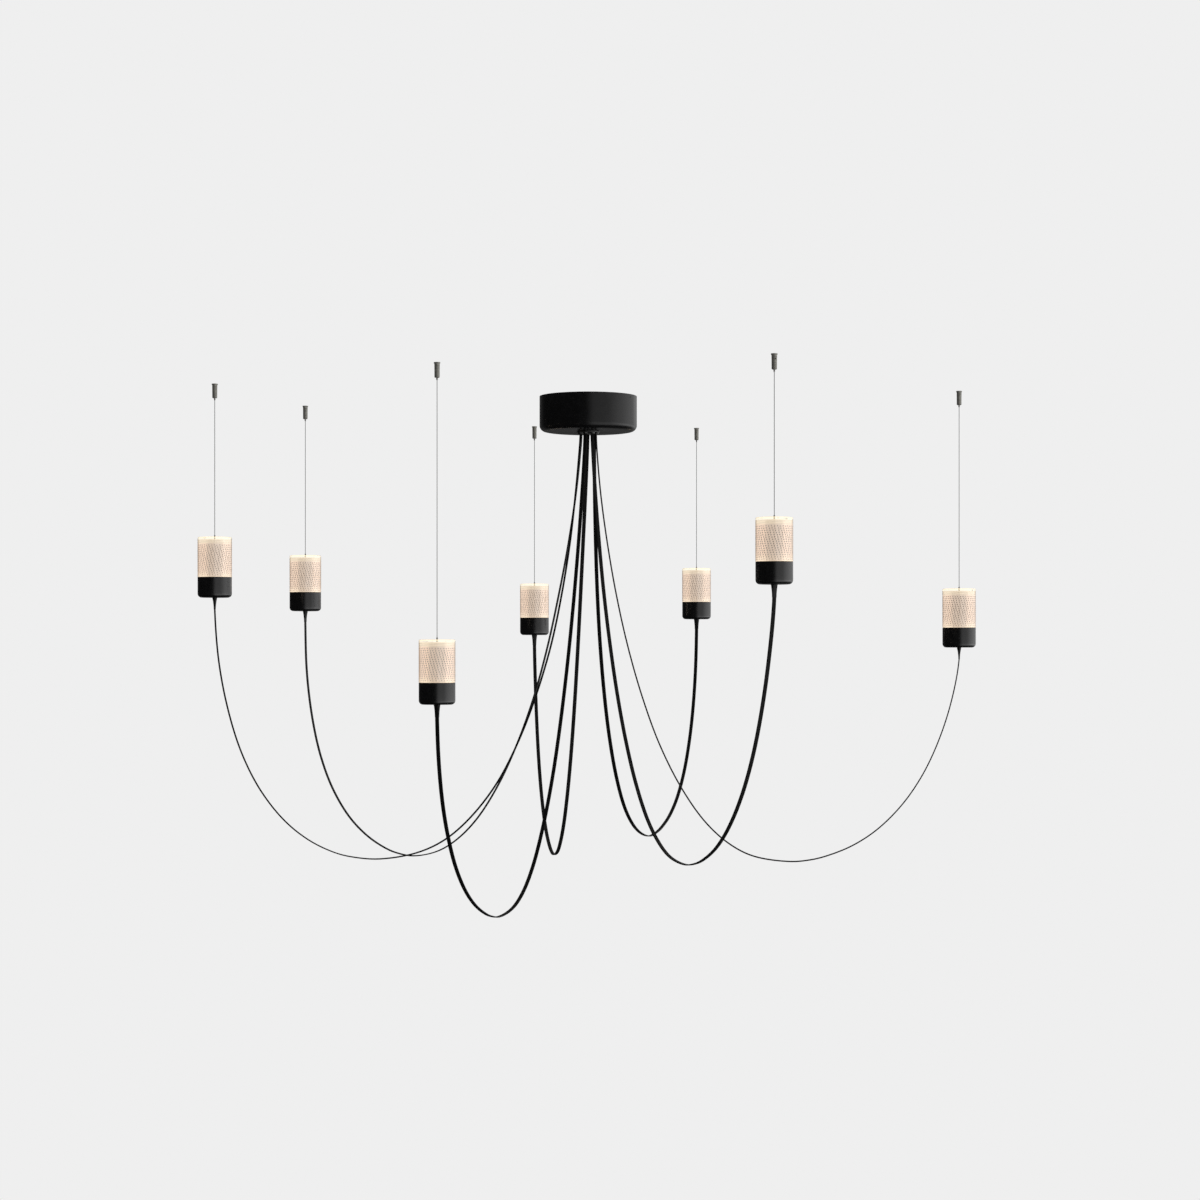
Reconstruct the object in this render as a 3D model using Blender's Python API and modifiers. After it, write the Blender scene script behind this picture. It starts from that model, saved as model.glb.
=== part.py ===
"""Glass pendant chandelier.

Seven glass lamps hang on steel wires at different heights round a flat ceiling canopy. A flat cord
leaves the canopy's gland for each lamp, hangs in a deep loop and enters the lamp's cup from below.

Metres, +Z up. The ceiling is the plane z = 0 and the canopy's axis is the Z axis. Lamps are numbered
from left to right as seen along +Y.
"""

import math

import bmesh
import bpy
from mathutils import Matrix, Vector

MM = 0.001

# Fits that every piece shares
SEAT_GAP = 0.3 * MM  # between a piece and what it rests on
SIDE_GAP = 0.3 * MM  # all round a piece in its hole
CUT_OVERRUN = 2.0 * MM  # how far a cutter runs past the face it cuts
MERGE_DISTANCE = 0.01 * MM  # below which a turned profile's ends are one point

# Canopy cover: a spun cup that closes the ceiling box
CANOPY_DIAMETER = 210.0 * MM
CANOPY_HEIGHT = 76.5 * MM
CANOPY_WALL = 2.0 * MM
CANOPY_CORNER = 13.0 * MM
CANOPY_SHADOW_GAP = 0.6 * MM  # between the cover's rim and the ceiling
COVER_SCREW_DIAMETER = 3.0 * MM
COVER_SCREW_DROP = 8.0 * MM  # from the ceiling to the screws' axes
COVER_SCREW_AZIMUTHS = (90.0, 210.0, 330.0)

# Ceiling plate: a pressed pan that carries the driver and the cover
PLATE_THICKNESS = 2.0 * MM
PLATE_FLANGE_DEPTH = 14.0 * MM
PLATE_CORNER = 3.0 * MM
CABLE_ENTRY_DIAMETER = 26.0 * MM
CABLE_ENTRY_OFFSET_SHARE = 0.5  # of the plate's radius, towards +Y
FIXING_SLOT_WIDTH = 5.0 * MM
FIXING_SLOT_LENGTH = 16.0 * MM
FIXING_SLOT_ACROSS_SHARE = 0.72  # of the plate's radius, along X
FIXING_SLOT_ALONG_SHARE = 0.22  # of the plate's radius, towards +Y

# LED driver: a flat box on mounting ears, off the plate's centre
DRIVER_HEIGHT = 30.0 * MM
DRIVER_END_HEIGHT = 23.0 * MM
DRIVER_EAR_THICKNESS = 1.6 * MM
DRIVER_CORNER = 1.5 * MM
DRIVER_LENGTH_SHARE = 1.06  # of the plate's radius, its tall middle
DRIVER_END_LENGTH_SHARE = 1.46  # with its terminal covers
DRIVER_EAR_LENGTH_SHARE = 1.66  # with its ears
DRIVER_WIDTH_SHARE = 0.42
DRIVER_END_WIDTH_SHARE = 0.38
DRIVER_EAR_WIDTH_SHARE = 0.20
DRIVER_OFFSET_SHARE = 0.35  # towards -Y
DRIVER_SCREW_DIAMETER = 4.0 * MM

# Cord gland: a snap-in disc in the cover's floor, with one outlet collar for each cord
GLAND_RING_RADIUS = 17.5 * MM
GLAND_FLANGE_MARGIN = 2.0 * MM  # flange beyond the collars
GLAND_FLANGE_THICKNESS = 1.5 * MM
GLAND_SPIGOT_STEP = 3.0 * MM  # flange beyond the spigot
GLAND_BARB_OVERLAP = 1.2 * MM  # barb beyond the hole's edge
GLAND_BARB_HEIGHT = 1.8 * MM
COLLAR_WALL = 1.0 * MM
COLLAR_HEIGHT = 4.0 * MM
CORD_SOCKET_DEPTH = 6.0 * MM
FIRST_OUTLET_AZIMUTH = 42.8

# Flat cord
CORD_WIDTH = 8.5 * MM
CORD_THICKNESS = 2.6 * MM

# Ceiling gripper with its release nozzle
GRIPPER_LENGTH = 29.6 * MM
GRIPPER_FLANGE_DIAMETER = 12.4 * MM
GRIPPER_FLANGE_THICKNESS = 1.8 * MM
GRIPPER_NECK_LENGTH = 2.2 * MM
GRIPPER_TOP_DIAMETER = 10.4 * MM
GRIPPER_FOOT_DIAMETER = 10.0 * MM
GRIPPER_FOOT_CHAMFER = 0.8 * MM
GRIPPER_LIP = 3.0 * MM  # the wall that keeps the nozzle in
GRIPPER_CAP = 8.5 * MM  # solid top above the jaw chamber
SIDE_EXIT_DIAMETER = 2.6 * MM  # where the wire's spare length comes out
SIDE_EXIT_DROP = 10.3 * MM  # from the ceiling to its axis
SIDE_EXIT_AZIMUTHS = (75.0, 110.0, 60.0, 95.0, 130.0, 296.0, 85.0)
NOZZLE_COLLAR_HEIGHT = 2.0 * MM
NOZZLE_COLLAR_STEP = 0.7 * MM
NOZZLE_DIAMETER = 3.0 * MM
NOZZLE_STICKOUT = 4.6 * MM
NOZZLE_TIP_LENGTH = 1.8 * MM
NOZZLE_TIP_WALL = 0.4 * MM
WIRE_TOP_GAP = 2.0 * MM  # between the wire's end and the gripper's solid top

# Suspension wire with its ferrule in the glass and its end stop in the lamp
WIRE_DIAMETER = 1.2 * MM
FERRULE_DIAMETER = 3.0 * MM
FERRULE_HEIGHT = 4.0 * MM
FERRULE_CHAMFER = 0.8 * MM
FERRULE_NECK_DIAMETER = 2.0 * MM
WIRE_STOP_DIAMETER = 4.0 * MM
WIRE_STOP_LENGTH = 3.5 * MM

# Lamp cup
CUP_DIAMETER = 70.0 * MM
CUP_HEIGHT = 42.0 * MM
CUP_WALL = 2.5 * MM
CUP_FLOOR = 3.0 * MM
CUP_CORNER = 8.0 * MM

# Glass: a thick inverted tumbler with a spigot in the cup's mouth
GLASS_HEIGHT = 82.0 * MM  # above the cup's rim
GLASS_SPIGOT_LENGTH = 12.0 * MM
GLASS_SPIGOT_WALL = 2.2 * MM
GLASS_ROOF = 5.0 * MM
GLASS_CORNER = 2.5 * MM

# Light engine: an LED ring board on a heat sink, under the glass's lower edge
BOARD_THICKNESS = 3.0 * MM
BOARD_EDGE_GAP = 1.2 * MM  # between the board and the cup's wall
HEAT_SINK_DIAMETER = 46.0 * MM

# Cord boot: a soft strain relief that tapers from an oval collar to the flat cord
BOOT_WIDTH = 13.4 * MM
BOOT_DEPTH = 9.6 * MM
BOOT_LENGTH = 24.0 * MM
BOOT_NECK_DIAMETER = 8.0 * MM
BOOT_HEAD_DIAMETER = 11.0 * MM
BOOT_HEAD_THICKNESS = 1.5 * MM
BOOT_SKIN = 0.4 * MM  # over the cord at the boot's end
BOOT_HEAD_ROOM = 1.5 * MM  # round the boot's head in the heat sink's recess
BOOT_LENGTH_SHARES = (0.0, 0.25, 0.55, 1.0)  # where its sections stand
BOOT_TAPER_SHARES = (0.0, 0.42, 0.8, 1.0)  # how far each has gone from the collar to the cord

# Layout: the lamps, from left to right as seen along +Y
LAYOUT_RADIUS = 850.0 * MM  # to the farthest wire
LAMP_DROP = 655.0 * MM  # from the ceiling to the lowest cup's underside
LOOP_DROP = 1084.4 * MM  # from the ceiling to the lowest cord loop
LAMP_AZIMUTHS = (198.0, 161.6, 245.7, 100.6, 71.0, 294.3, 352.3)
LAMP_RADIUS_SHARES = (0.951, 0.787, 0.818, 0.859, 0.948, 0.999, 0.933)
LAMP_DROP_SHARES = (0.673, 0.702, 1.0, 0.776, 0.716, 0.655, 0.829)
LOOP_DROP_SHARES = (0.911, 0.924, 1.0, 0.943, 0.9, 0.901, 0.922)

# Cord routes: each loop lies in the upright plane from its outlet to its lamp. A point's reach is a
# share of the way to the lamp, and its height a share of the way from the loop's lowest point up to
# the outlet, or on the lamp's side up to the boot.
ROUTE_HEIGHT_SHARES = (
    (1.0, 0.94, 0.85, 0.74, 0.62, 0.5, 0.38, 0.27, 0.17, 0.09, 0.04, 0.012, 0.0),
    (0.01, 0.03, 0.08, 0.16, 0.28, 0.42, 0.58, 0.78, 1.0),
)
ROUTE_REACH_SHARES = (
    (
        (0.0, 0.005, 0.015, 0.03, 0.053, 0.083, 0.1255, 0.176, 0.238, 0.313, 0.384, 0.46, 0.561),
        (0.632, 0.682, 0.749, 0.815, 0.878, 0.926, 0.961, 0.988, 1.0),
    ),
    (
        (0.0, 0.007, 0.022, 0.047, 0.081, 0.12, 0.169, 0.228, 0.297, 0.373, 0.446, 0.515, 0.599),
        (0.658, 0.702, 0.768, 0.835, 0.897, 0.942, 0.973, 0.994, 1.0),
    ),
    (
        (0.0, 0.009, 0.029, 0.057, 0.093, 0.135, 0.185, 0.241, 0.308, 0.38, 0.449, 0.519, 0.609),
        (0.663, 0.703, 0.766, 0.828, 0.887, 0.931, 0.965, 0.989, 1.0),
    ),
    (
        (0.0, 0.014, 0.043, 0.082, 0.125, 0.171, 0.223, 0.28, 0.345, 0.414, 0.478, 0.535, 0.607),
        (0.653, 0.688, 0.744, 0.801, 0.859, 0.906, 0.944, 0.977, 1.0),
    ),
    (
        (0.0, 0.001, 0.005, 0.013, 0.027, 0.05, 0.085, 0.131, 0.192, 0.266, 0.345, 0.425, 0.51),
        (0.575, 0.63, 0.712, 0.79, 0.862, 0.916, 0.957, 0.987, 1.0),
    ),
    (
        (0.0, 0.007, 0.021, 0.043, 0.072, 0.109, 0.154, 0.206, 0.267, 0.335, 0.401, 0.463, 0.546),
        (0.603, 0.646, 0.711, 0.775, 0.84, 0.893, 0.936, 0.974, 1.0),
    ),
    (
        (0.0, 0.004, 0.014, 0.032, 0.057, 0.089, 0.13, 0.178, 0.238, 0.305, 0.371, 0.437, 0.539),
        (0.597, 0.64, 0.708, 0.776, 0.843, 0.897, 0.94, 0.977, 1.0),
    ),
)

# Fineness of the round forms
CANOPY_SEGMENTS = 32
LAMP_SEGMENTS = 20
COLLAR_SEGMENTS = 12
SMALL_SEGMENTS = 10
FINE_SEGMENTS = 8
WIRE_SEGMENTS = 6
CANOPY_CORNER_STEPS = 3
LAMP_CORNER_STEPS = 2
ROUTE_STEPS = 12  # curve samples between two route points
CORD_TURN_STEP = 12.0  # degrees that a cord turns between two of its points
CORD_LONGEST_STEP_SHARE = 0.08  # of its reach, where it runs nearly straight

# What follows from the sizes above
CANOPY_RADIUS = CANOPY_DIAMETER / 2
CANOPY_INNER_RADIUS = CANOPY_RADIUS - CANOPY_WALL
PLATE_RADIUS = CANOPY_INNER_RADIUS - SIDE_GAP
COLLAR_RADIUS = CORD_WIDTH / 2 + SIDE_GAP + COLLAR_WALL
GLAND_FLANGE_RADIUS = GLAND_RING_RADIUS + COLLAR_RADIUS + GLAND_FLANGE_MARGIN
GLAND_SPIGOT_RADIUS = GLAND_FLANGE_RADIUS - GLAND_SPIGOT_STEP
GLAND_HOLE_RADIUS = GLAND_SPIGOT_RADIUS + SIDE_GAP
GLAND_MOUTH_Z = -CANOPY_HEIGHT - SEAT_GAP - GLAND_FLANGE_THICKNESS - COLLAR_HEIGHT
WIRE_RADIUS = WIRE_DIAMETER / 2
NOZZLE_RADIUS = NOZZLE_DIAMETER / 2
NOZZLE_COLLAR_RADIUS = NOZZLE_RADIUS + NOZZLE_COLLAR_STEP
GRIPPER_CHAMBER_RADIUS = NOZZLE_COLLAR_RADIUS + SIDE_GAP
CUP_RADIUS = CUP_DIAMETER / 2
CUP_INNER_RADIUS = CUP_RADIUS - CUP_WALL
GLASS_SEAT_Z = CUP_HEIGHT + SEAT_GAP
GLASS_TOP_Z = GLASS_SEAT_Z + GLASS_HEIGHT
GLASS_SPIGOT_RADIUS = CUP_INNER_RADIUS - SIDE_GAP
GLASS_INNER_RADIUS = GLASS_SPIGOT_RADIUS - GLASS_SPIGOT_WALL
GLASS_HOLE_RADIUS = FERRULE_NECK_DIAMETER / 2 + SIDE_GAP
BOARD_TOP_Z = GLASS_SEAT_Z - GLASS_SPIGOT_LENGTH - SEAT_GAP
BOARD_BOTTOM_Z = BOARD_TOP_Z - BOARD_THICKNESS
ENGINE_FOOT_Z = CUP_FLOOR + SEAT_GAP
BOOT_HEAD_TOP_Z = ENGINE_FOOT_Z + BOOT_HEAD_THICKNESS
WIRE_STOP_BOTTOM_Z = BOOT_HEAD_TOP_Z + SEAT_GAP
WIRE_STOP_TOP_Z = WIRE_STOP_BOTTOM_Z + WIRE_STOP_LENGTH
ENGINE_RECESS_Z = WIRE_STOP_TOP_Z + SEAT_GAP
ENGINE_RECESS_RADIUS = BOOT_HEAD_DIAMETER / 2 + BOOT_HEAD_ROOM
BOOT_END_Z = -SEAT_GAP - BOOT_LENGTH


def clear_scene():
    """Remove whatever the file holds, so that only the chandelier is in it."""
    for thing in list(bpy.data.objects):
        bpy.data.objects.remove(thing)


def make_collection(name):
    """Return a new collection linked to the scene."""
    collection = bpy.data.collections.new(name)
    bpy.context.scene.collection.children.link(collection)
    return collection


def make_material(name, colour, roughness, metallic=0.0, transmission=0.0):
    """Return a Principled material of one finish."""
    material = bpy.data.materials.new(name)
    material.use_nodes = True
    shader = material.node_tree.nodes["Principled BSDF"]
    shader.inputs["Base Color"].default_value = (*colour, 1.0)
    shader.inputs["Roughness"].default_value = roughness
    shader.inputs["Metallic"].default_value = metallic
    shader.inputs["Transmission Weight"].default_value = transmission
    material.diffuse_color = (*colour, 1.0)
    return material


def add_object(name, data, collection, material=None, parent=None, location=(0, 0, 0), turn=0.0):
    """Place a mesh or curve as a named object. turn is its angle about Z."""
    thing = bpy.data.objects.new(name, data)
    collection.objects.link(thing)
    thing.parent = parent
    thing.location = location
    thing.rotation_euler = (0, 0, turn)
    if material is not None and not data.materials:
        data.materials.append(material)
    return thing


def as_cutter(thing):
    """Mark an object that only shapes others."""
    thing.hide_render = True
    thing.display_type = "WIRE"
    return thing


def combine(thing, other, operation):
    """Cut thing with other, or join them."""
    change = thing.modifiers.new(other.name, "BOOLEAN")
    change.operation = operation
    change.solver = "EXACT"
    change.object = other


def turn_profile(thing, segments):
    """Revolve the object's profile, which lies in its XZ plane, about its Z axis."""
    screw = thing.modifiers.new("turned", "SCREW")
    screw.axis = "Z"
    screw.angle = math.tau
    screw.steps = segments
    screw.render_steps = segments
    screw.use_merge_vertices = True
    screw.merge_threshold = MERGE_DISTANCE
    screw.use_smooth_shade = True


def profile_mesh(name, points, closed):
    """Return a mesh of edges through (radius, height) points. It runs down the outer side."""
    edges = [(i, i + 1) for i in range(len(points) - 1)]
    if closed:
        edges.append((len(points) - 1, 0))
    mesh = bpy.data.meshes.new(name)
    mesh.from_pydata([(r, 0, z) for r, z in points], edges, [])
    return mesh


def arc(centre, radius, first, last, steps):
    """Return the points of a corner about centre, from angle first to angle last in degrees."""
    angles = [first + (last - first) * i / steps for i in range(steps + 1)]
    return [
        (
            centre[0] + radius * math.cos(math.radians(angle)),
            centre[1] + radius * math.sin(math.radians(angle)),
        )
        for angle in angles
    ]


def polar(radius, azimuth, z=0.0):
    """Return the point at that radius and azimuth in degrees."""
    angle = math.radians(azimuth)
    return Vector((radius * math.cos(angle), radius * math.sin(angle), z))


def cylinder_mesh(name, radius, low, high, segments):
    """Return an upright cylinder between two heights."""
    shape = bmesh.new()
    bmesh.ops.create_cone(
        shape,
        cap_ends=True,
        segments=segments,
        radius1=radius,
        radius2=radius,
        depth=high - low,
        matrix=Matrix.Translation((0, 0, (low + high) / 2)),
    )
    return finish_mesh(name, shape)


def box_mesh(name, length, width, low, high):
    """Return a box centred on the Z axis between two heights."""
    shape = bmesh.new()
    bmesh.ops.create_cube(
        shape,
        size=1.0,
        matrix=Matrix.Translation((0, 0, (low + high) / 2))
        @ Matrix.Diagonal((length, width, high - low, 1.0)),
    )
    return finish_mesh(name, shape)


def slot_mesh(name, length, width, low, high):
    """Return an upright slot with round ends, long along X."""
    shape = bmesh.new()
    for side in (-1, 1):
        bmesh.ops.create_cone(
            shape,
            cap_ends=True,
            segments=FINE_SEGMENTS,
            radius1=width / 2,
            radius2=width / 2,
            depth=high - low,
            matrix=Matrix.Translation((side * (length - width) / 2, 0, (low + high) / 2)),
        )
    hull = bmesh.ops.convex_hull(shape, input=shape.verts)
    inner = {e for e in hull["geom_interior"] + hull["geom_unused"] if isinstance(e, bmesh.types.BMVert)}
    bmesh.ops.delete(shape, geom=list(inner), context="VERTS")
    bmesh.ops.dissolve_limit(shape, angle_limit=math.radians(1), verts=shape.verts, edges=shape.edges)
    return finish_mesh(name, shape)


def finish_mesh(name, shape):
    """Write a bmesh to a new mesh with its faces pointing out."""
    bmesh.ops.recalc_face_normals(shape, faces=shape.faces)
    mesh = bpy.data.meshes.new(name)
    shape.to_mesh(mesh)
    shape.free()
    mesh.shade_smooth()
    mesh.set_sharp_from_angle(angle=math.radians(35))
    return mesh


def build_ceiling_plate(parts, cutters, material):
    """Make the pressed pan with its cable entry, fixing slots and tapped cover screws."""
    profile = [
        (0, 0),
        (PLATE_RADIUS - PLATE_CORNER, 0),
        (PLATE_RADIUS, -PLATE_CORNER),
        (PLATE_RADIUS, -PLATE_FLANGE_DEPTH),
    ]
    plate = add_object("ceiling_plate", profile_mesh("ceiling_plate", profile, False), parts, material)
    turn_profile(plate, CANOPY_SEGMENTS)
    wall = plate.modifiers.new("sheet", "SOLIDIFY")
    wall.thickness = PLATE_THICKNESS
    wall.offset = -1
    low = -PLATE_THICKNESS - CUT_OVERRUN
    entry = cylinder_mesh("cable_entry", CABLE_ENTRY_DIAMETER / 2, low, CUT_OVERRUN, LAMP_SEGMENTS)
    slot = slot_mesh("fixing_slot", FIXING_SLOT_LENGTH, FIXING_SLOT_WIDTH, low, CUT_OVERRUN)
    entry_place = (0, PLATE_RADIUS * CABLE_ENTRY_OFFSET_SHARE, 0)
    entry_cut = add_object("cable_entry_cut", entry, cutters, location=entry_place)
    combine(plate, as_cutter(entry_cut), "DIFFERENCE")
    for side in (-1, 1):
        place = (
            side * PLATE_RADIUS * FIXING_SLOT_ACROSS_SHARE,
            PLATE_RADIUS * FIXING_SLOT_ALONG_SHARE,
            0,
        )
        cut = add_object(f"fixing_slot_cut_{side}", slot, cutters, location=place, turn=math.pi / 2)
        combine(plate, as_cutter(cut), "DIFFERENCE")
    cut_screw_holes(plate, cutters, "tapped", COVER_SCREW_DIAMETER / 2)
    return plate


def cut_screw_holes(thing, cutters, name, radius):
    """Cut the cover screws' radial holes."""
    inner = PLATE_RADIUS - PLATE_THICKNESS - CUT_OVERRUN
    hole = cylinder_mesh(f"{name}_hole", radius, inner, CANOPY_RADIUS + CUT_OVERRUN, FINE_SEGMENTS)
    for azimuth in COVER_SCREW_AZIMUTHS:
        cut = add_object(f"{name}_hole_{azimuth:.0f}", hole, cutters, location=(0, 0, -COVER_SCREW_DROP))
        cut.rotation_euler = (0, math.pi / 2, math.radians(azimuth))
        combine(thing, as_cutter(cut), "DIFFERENCE")


def build_canopy_cover(parts, cutters, material):
    """Make the spun cover with its gland hole and screw holes."""
    corner_centre = (CANOPY_RADIUS - CANOPY_CORNER, CANOPY_CORNER - CANOPY_HEIGHT)
    profile = [
        (CANOPY_RADIUS, -CANOPY_SHADOW_GAP),
        *arc(corner_centre, CANOPY_CORNER, 0, -90, CANOPY_CORNER_STEPS),
        (GLAND_HOLE_RADIUS, -CANOPY_HEIGHT),
    ]
    cover = add_object("canopy_cover", profile_mesh("canopy_cover", profile, False), parts, material)
    turn_profile(cover, CANOPY_SEGMENTS)
    wall = cover.modifiers.new("wall", "SOLIDIFY")
    wall.thickness = CANOPY_WALL
    wall.offset = -1
    wall.use_even_offset = True
    cut_screw_holes(cover, cutters, "cover", COVER_SCREW_DIAMETER / 2 + SIDE_GAP)
    return cover


def build_led_driver(parts, cutters, material):
    """Make the driver: a tall middle, lower terminal covers and screw ears, in one housing."""
    top = -PLATE_THICKNESS - SEAT_GAP
    place = (0, -PLATE_RADIUS * DRIVER_OFFSET_SHARE, top)
    middle = box_mesh(
        "led_driver",
        PLATE_RADIUS * DRIVER_LENGTH_SHARE,
        PLATE_RADIUS * DRIVER_WIDTH_SHARE,
        -DRIVER_HEIGHT,
        0,
    )
    driver = add_object("led_driver", middle, parts, material, location=place)
    edge = driver.modifiers.new("edges", "BEVEL")
    edge.width = DRIVER_CORNER
    edge.segments = 1
    ends = box_mesh(
        "driver_ends",
        PLATE_RADIUS * DRIVER_END_LENGTH_SHARE,
        PLATE_RADIUS * DRIVER_END_WIDTH_SHARE,
        -DRIVER_END_HEIGHT,
        0,
    )
    combine(driver, as_cutter(add_object("driver_ends", ends, cutters, location=place)), "UNION")
    ears = box_mesh(
        "driver_ears",
        PLATE_RADIUS * DRIVER_EAR_LENGTH_SHARE,
        PLATE_RADIUS * DRIVER_EAR_WIDTH_SHARE,
        -DRIVER_EAR_THICKNESS,
        0,
    )
    combine(driver, as_cutter(add_object("driver_ears", ears, cutters, location=place)), "UNION")
    hole = cylinder_mesh(
        "driver_screw",
        DRIVER_SCREW_DIAMETER / 2,
        -DRIVER_EAR_THICKNESS - CUT_OVERRUN,
        CUT_OVERRUN,
        FINE_SEGMENTS,
    )
    ear_middle = PLATE_RADIUS * (DRIVER_END_LENGTH_SHARE + DRIVER_EAR_LENGTH_SHARE) / 4
    for side in (-1, 1):
        spot = (side * ear_middle, place[1], top)
        cut = add_object(f"driver_screw_{side}", hole, cutters, location=spot)
        combine(driver, as_cutter(cut), "DIFFERENCE")
    return driver


def outlet_azimuth(lamp):
    """Return the azimuth of a lamp's outlet. The outlets stand evenly, in the lamps' own order."""
    rank = sorted(range(len(LAMP_AZIMUTHS)), key=lambda i: LAMP_AZIMUTHS[i]).index(lamp)
    return FIRST_OUTLET_AZIMUTH + rank * 360.0 / len(LAMP_AZIMUTHS)


def outlet_place(lamp):
    """Return the middle of a lamp's outlet at the gland's mouth."""
    return polar(GLAND_RING_RADIUS, outlet_azimuth(lamp), GLAND_MOUTH_Z)


def wire_place(lamp):
    """Return where a lamp's wire meets the ceiling."""
    return polar(LAYOUT_RADIUS * LAMP_RADIUS_SHARES[lamp], LAMP_AZIMUTHS[lamp])


def loop_azimuth(lamp):
    """Return the direction from a lamp's outlet to its wire, about Z, in radians."""
    way = wire_place(lamp) - outlet_place(lamp)
    return math.atan2(way.y, way.x)


def build_cord_gland(parts, cutters, material):
    """Make the snap-in gland: flange, groove and barb, seven collars and their cord sockets."""
    flange_top = -CANOPY_HEIGHT - SEAT_GAP
    flange_low = flange_top - GLAND_FLANGE_THICKNESS
    barb_low = -CANOPY_HEIGHT + CANOPY_WALL + SEAT_GAP
    barb_radius = GLAND_HOLE_RADIUS + GLAND_BARB_OVERLAP
    barb_top = barb_low + GLAND_BARB_HEIGHT
    profile = [
        (0, barb_top),
        (GLAND_SPIGOT_RADIUS, barb_top),
        (barb_radius, barb_low),
        (GLAND_SPIGOT_RADIUS, barb_low),
        (GLAND_SPIGOT_RADIUS, flange_top),
        (GLAND_FLANGE_RADIUS, flange_top),
        (GLAND_FLANGE_RADIUS - GLAND_FLANGE_THICKNESS / 2, flange_low),
        (0, flange_low),
    ]
    gland = add_object("cord_gland", profile_mesh("cord_gland", profile, False), parts, material)
    turn_profile(gland, CANOPY_SEGMENTS)
    collar_top = COLLAR_HEIGHT + GLAND_FLANGE_THICKNESS / 2
    collar = cylinder_mesh("collar", COLLAR_RADIUS, 0, collar_top, COLLAR_SEGMENTS)
    socket = slot_mesh(
        "cord_socket",
        CORD_WIDTH + 2 * SIDE_GAP,
        CORD_THICKNESS + 2 * SIDE_GAP,
        -CUT_OVERRUN,
        CORD_SOCKET_DEPTH,
    )
    for lamp in range(len(LAMP_AZIMUTHS)):
        place = outlet_place(lamp)
        ring = add_object(f"collar_{lamp + 1}", collar, cutters, location=place)
        combine(gland, as_cutter(ring), "UNION")
    for lamp in range(len(LAMP_AZIMUTHS)):
        name = f"cord_socket_{lamp + 1}"
        across = loop_azimuth(lamp) + math.pi / 2
        cut = add_object(name, socket, cutters, location=outlet_place(lamp), turn=across)
        combine(gland, as_cutter(cut), "DIFFERENCE")
    return gland


def gripper_profile():
    """Return the gripper's half section, hung from the ceiling at z = 0."""
    lip_radius = NOZZLE_RADIUS + SIDE_GAP
    foot = GRIPPER_FOOT_DIAMETER / 2
    return [
        (0, 0),
        (GRIPPER_FLANGE_DIAMETER / 2, 0),
        (GRIPPER_FLANGE_DIAMETER / 2, -GRIPPER_FLANGE_THICKNESS),
        (GRIPPER_TOP_DIAMETER / 2, -GRIPPER_FLANGE_THICKNESS - GRIPPER_NECK_LENGTH),
        (foot, GRIPPER_FOOT_CHAMFER - GRIPPER_LENGTH),
        (foot - GRIPPER_FOOT_CHAMFER, -GRIPPER_LENGTH),
        (lip_radius, -GRIPPER_LENGTH),
        (lip_radius, GRIPPER_LIP - GRIPPER_LENGTH),
        (GRIPPER_CHAMBER_RADIUS, GRIPPER_LIP - GRIPPER_LENGTH),
        (GRIPPER_CHAMBER_RADIUS, -GRIPPER_CAP),
        (0, -GRIPPER_CAP),
    ]


def cut_side_exit(gripper, lamp, axis, cutters):
    """Drill the gripper's side exit, level, from its wire's line out through one wall."""
    reach = GRIPPER_TOP_DIAMETER / 2 + CUT_OVERRUN
    drill = cylinder_mesh(f"side_exit_{lamp + 1}", SIDE_EXIT_DIAMETER / 2, 0, reach, FINE_SEGMENTS)
    cut = add_object(f"side_exit_{lamp + 1}", drill, cutters, parent=axis, location=(0, 0, -SIDE_EXIT_DROP))
    cut.rotation_euler = (0, math.pi / 2, math.radians(SIDE_EXIT_AZIMUTHS[lamp]))
    combine(gripper, as_cutter(cut), "DIFFERENCE")


def nozzle_profile():
    """Return the release nozzle's half section, about the gripper's foot at z = 0."""
    bore = WIRE_RADIUS + SIDE_GAP
    shoulder = GRIPPER_LIP + SEAT_GAP
    return [
        (NOZZLE_COLLAR_RADIUS, shoulder + NOZZLE_COLLAR_HEIGHT),
        (NOZZLE_COLLAR_RADIUS, shoulder),
        (NOZZLE_RADIUS, shoulder),
        (NOZZLE_RADIUS, NOZZLE_TIP_LENGTH - NOZZLE_STICKOUT),
        (bore + NOZZLE_TIP_WALL, -NOZZLE_STICKOUT),
        (bore, -NOZZLE_STICKOUT),
        (bore, shoulder + NOZZLE_COLLAR_HEIGHT),
    ]


def wire_profile(drop):
    """Return the wire's half section with its ferrule and end stop, about the cup's underside."""
    top = drop - GRIPPER_CAP - WIRE_TOP_GAP
    ferrule = FERRULE_DIAMETER / 2
    ferrule_low = GLASS_TOP_Z + SEAT_GAP
    neck = FERRULE_NECK_DIAMETER / 2
    neck_low = GLASS_TOP_Z - GLASS_ROOF - SEAT_GAP
    stop = WIRE_STOP_DIAMETER / 2
    return [
        (0, top),
        (WIRE_RADIUS, top),
        (WIRE_RADIUS, ferrule_low + FERRULE_HEIGHT),
        (ferrule, ferrule_low + FERRULE_HEIGHT - FERRULE_CHAMFER),
        (ferrule, ferrule_low),
        (neck, ferrule_low),
        (neck, neck_low),
        (WIRE_RADIUS, neck_low),
        (WIRE_RADIUS, WIRE_STOP_TOP_Z),
        (stop, WIRE_STOP_TOP_Z),
        (stop, WIRE_STOP_BOTTOM_Z),
        (0, WIRE_STOP_BOTTOM_Z),
    ]


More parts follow.
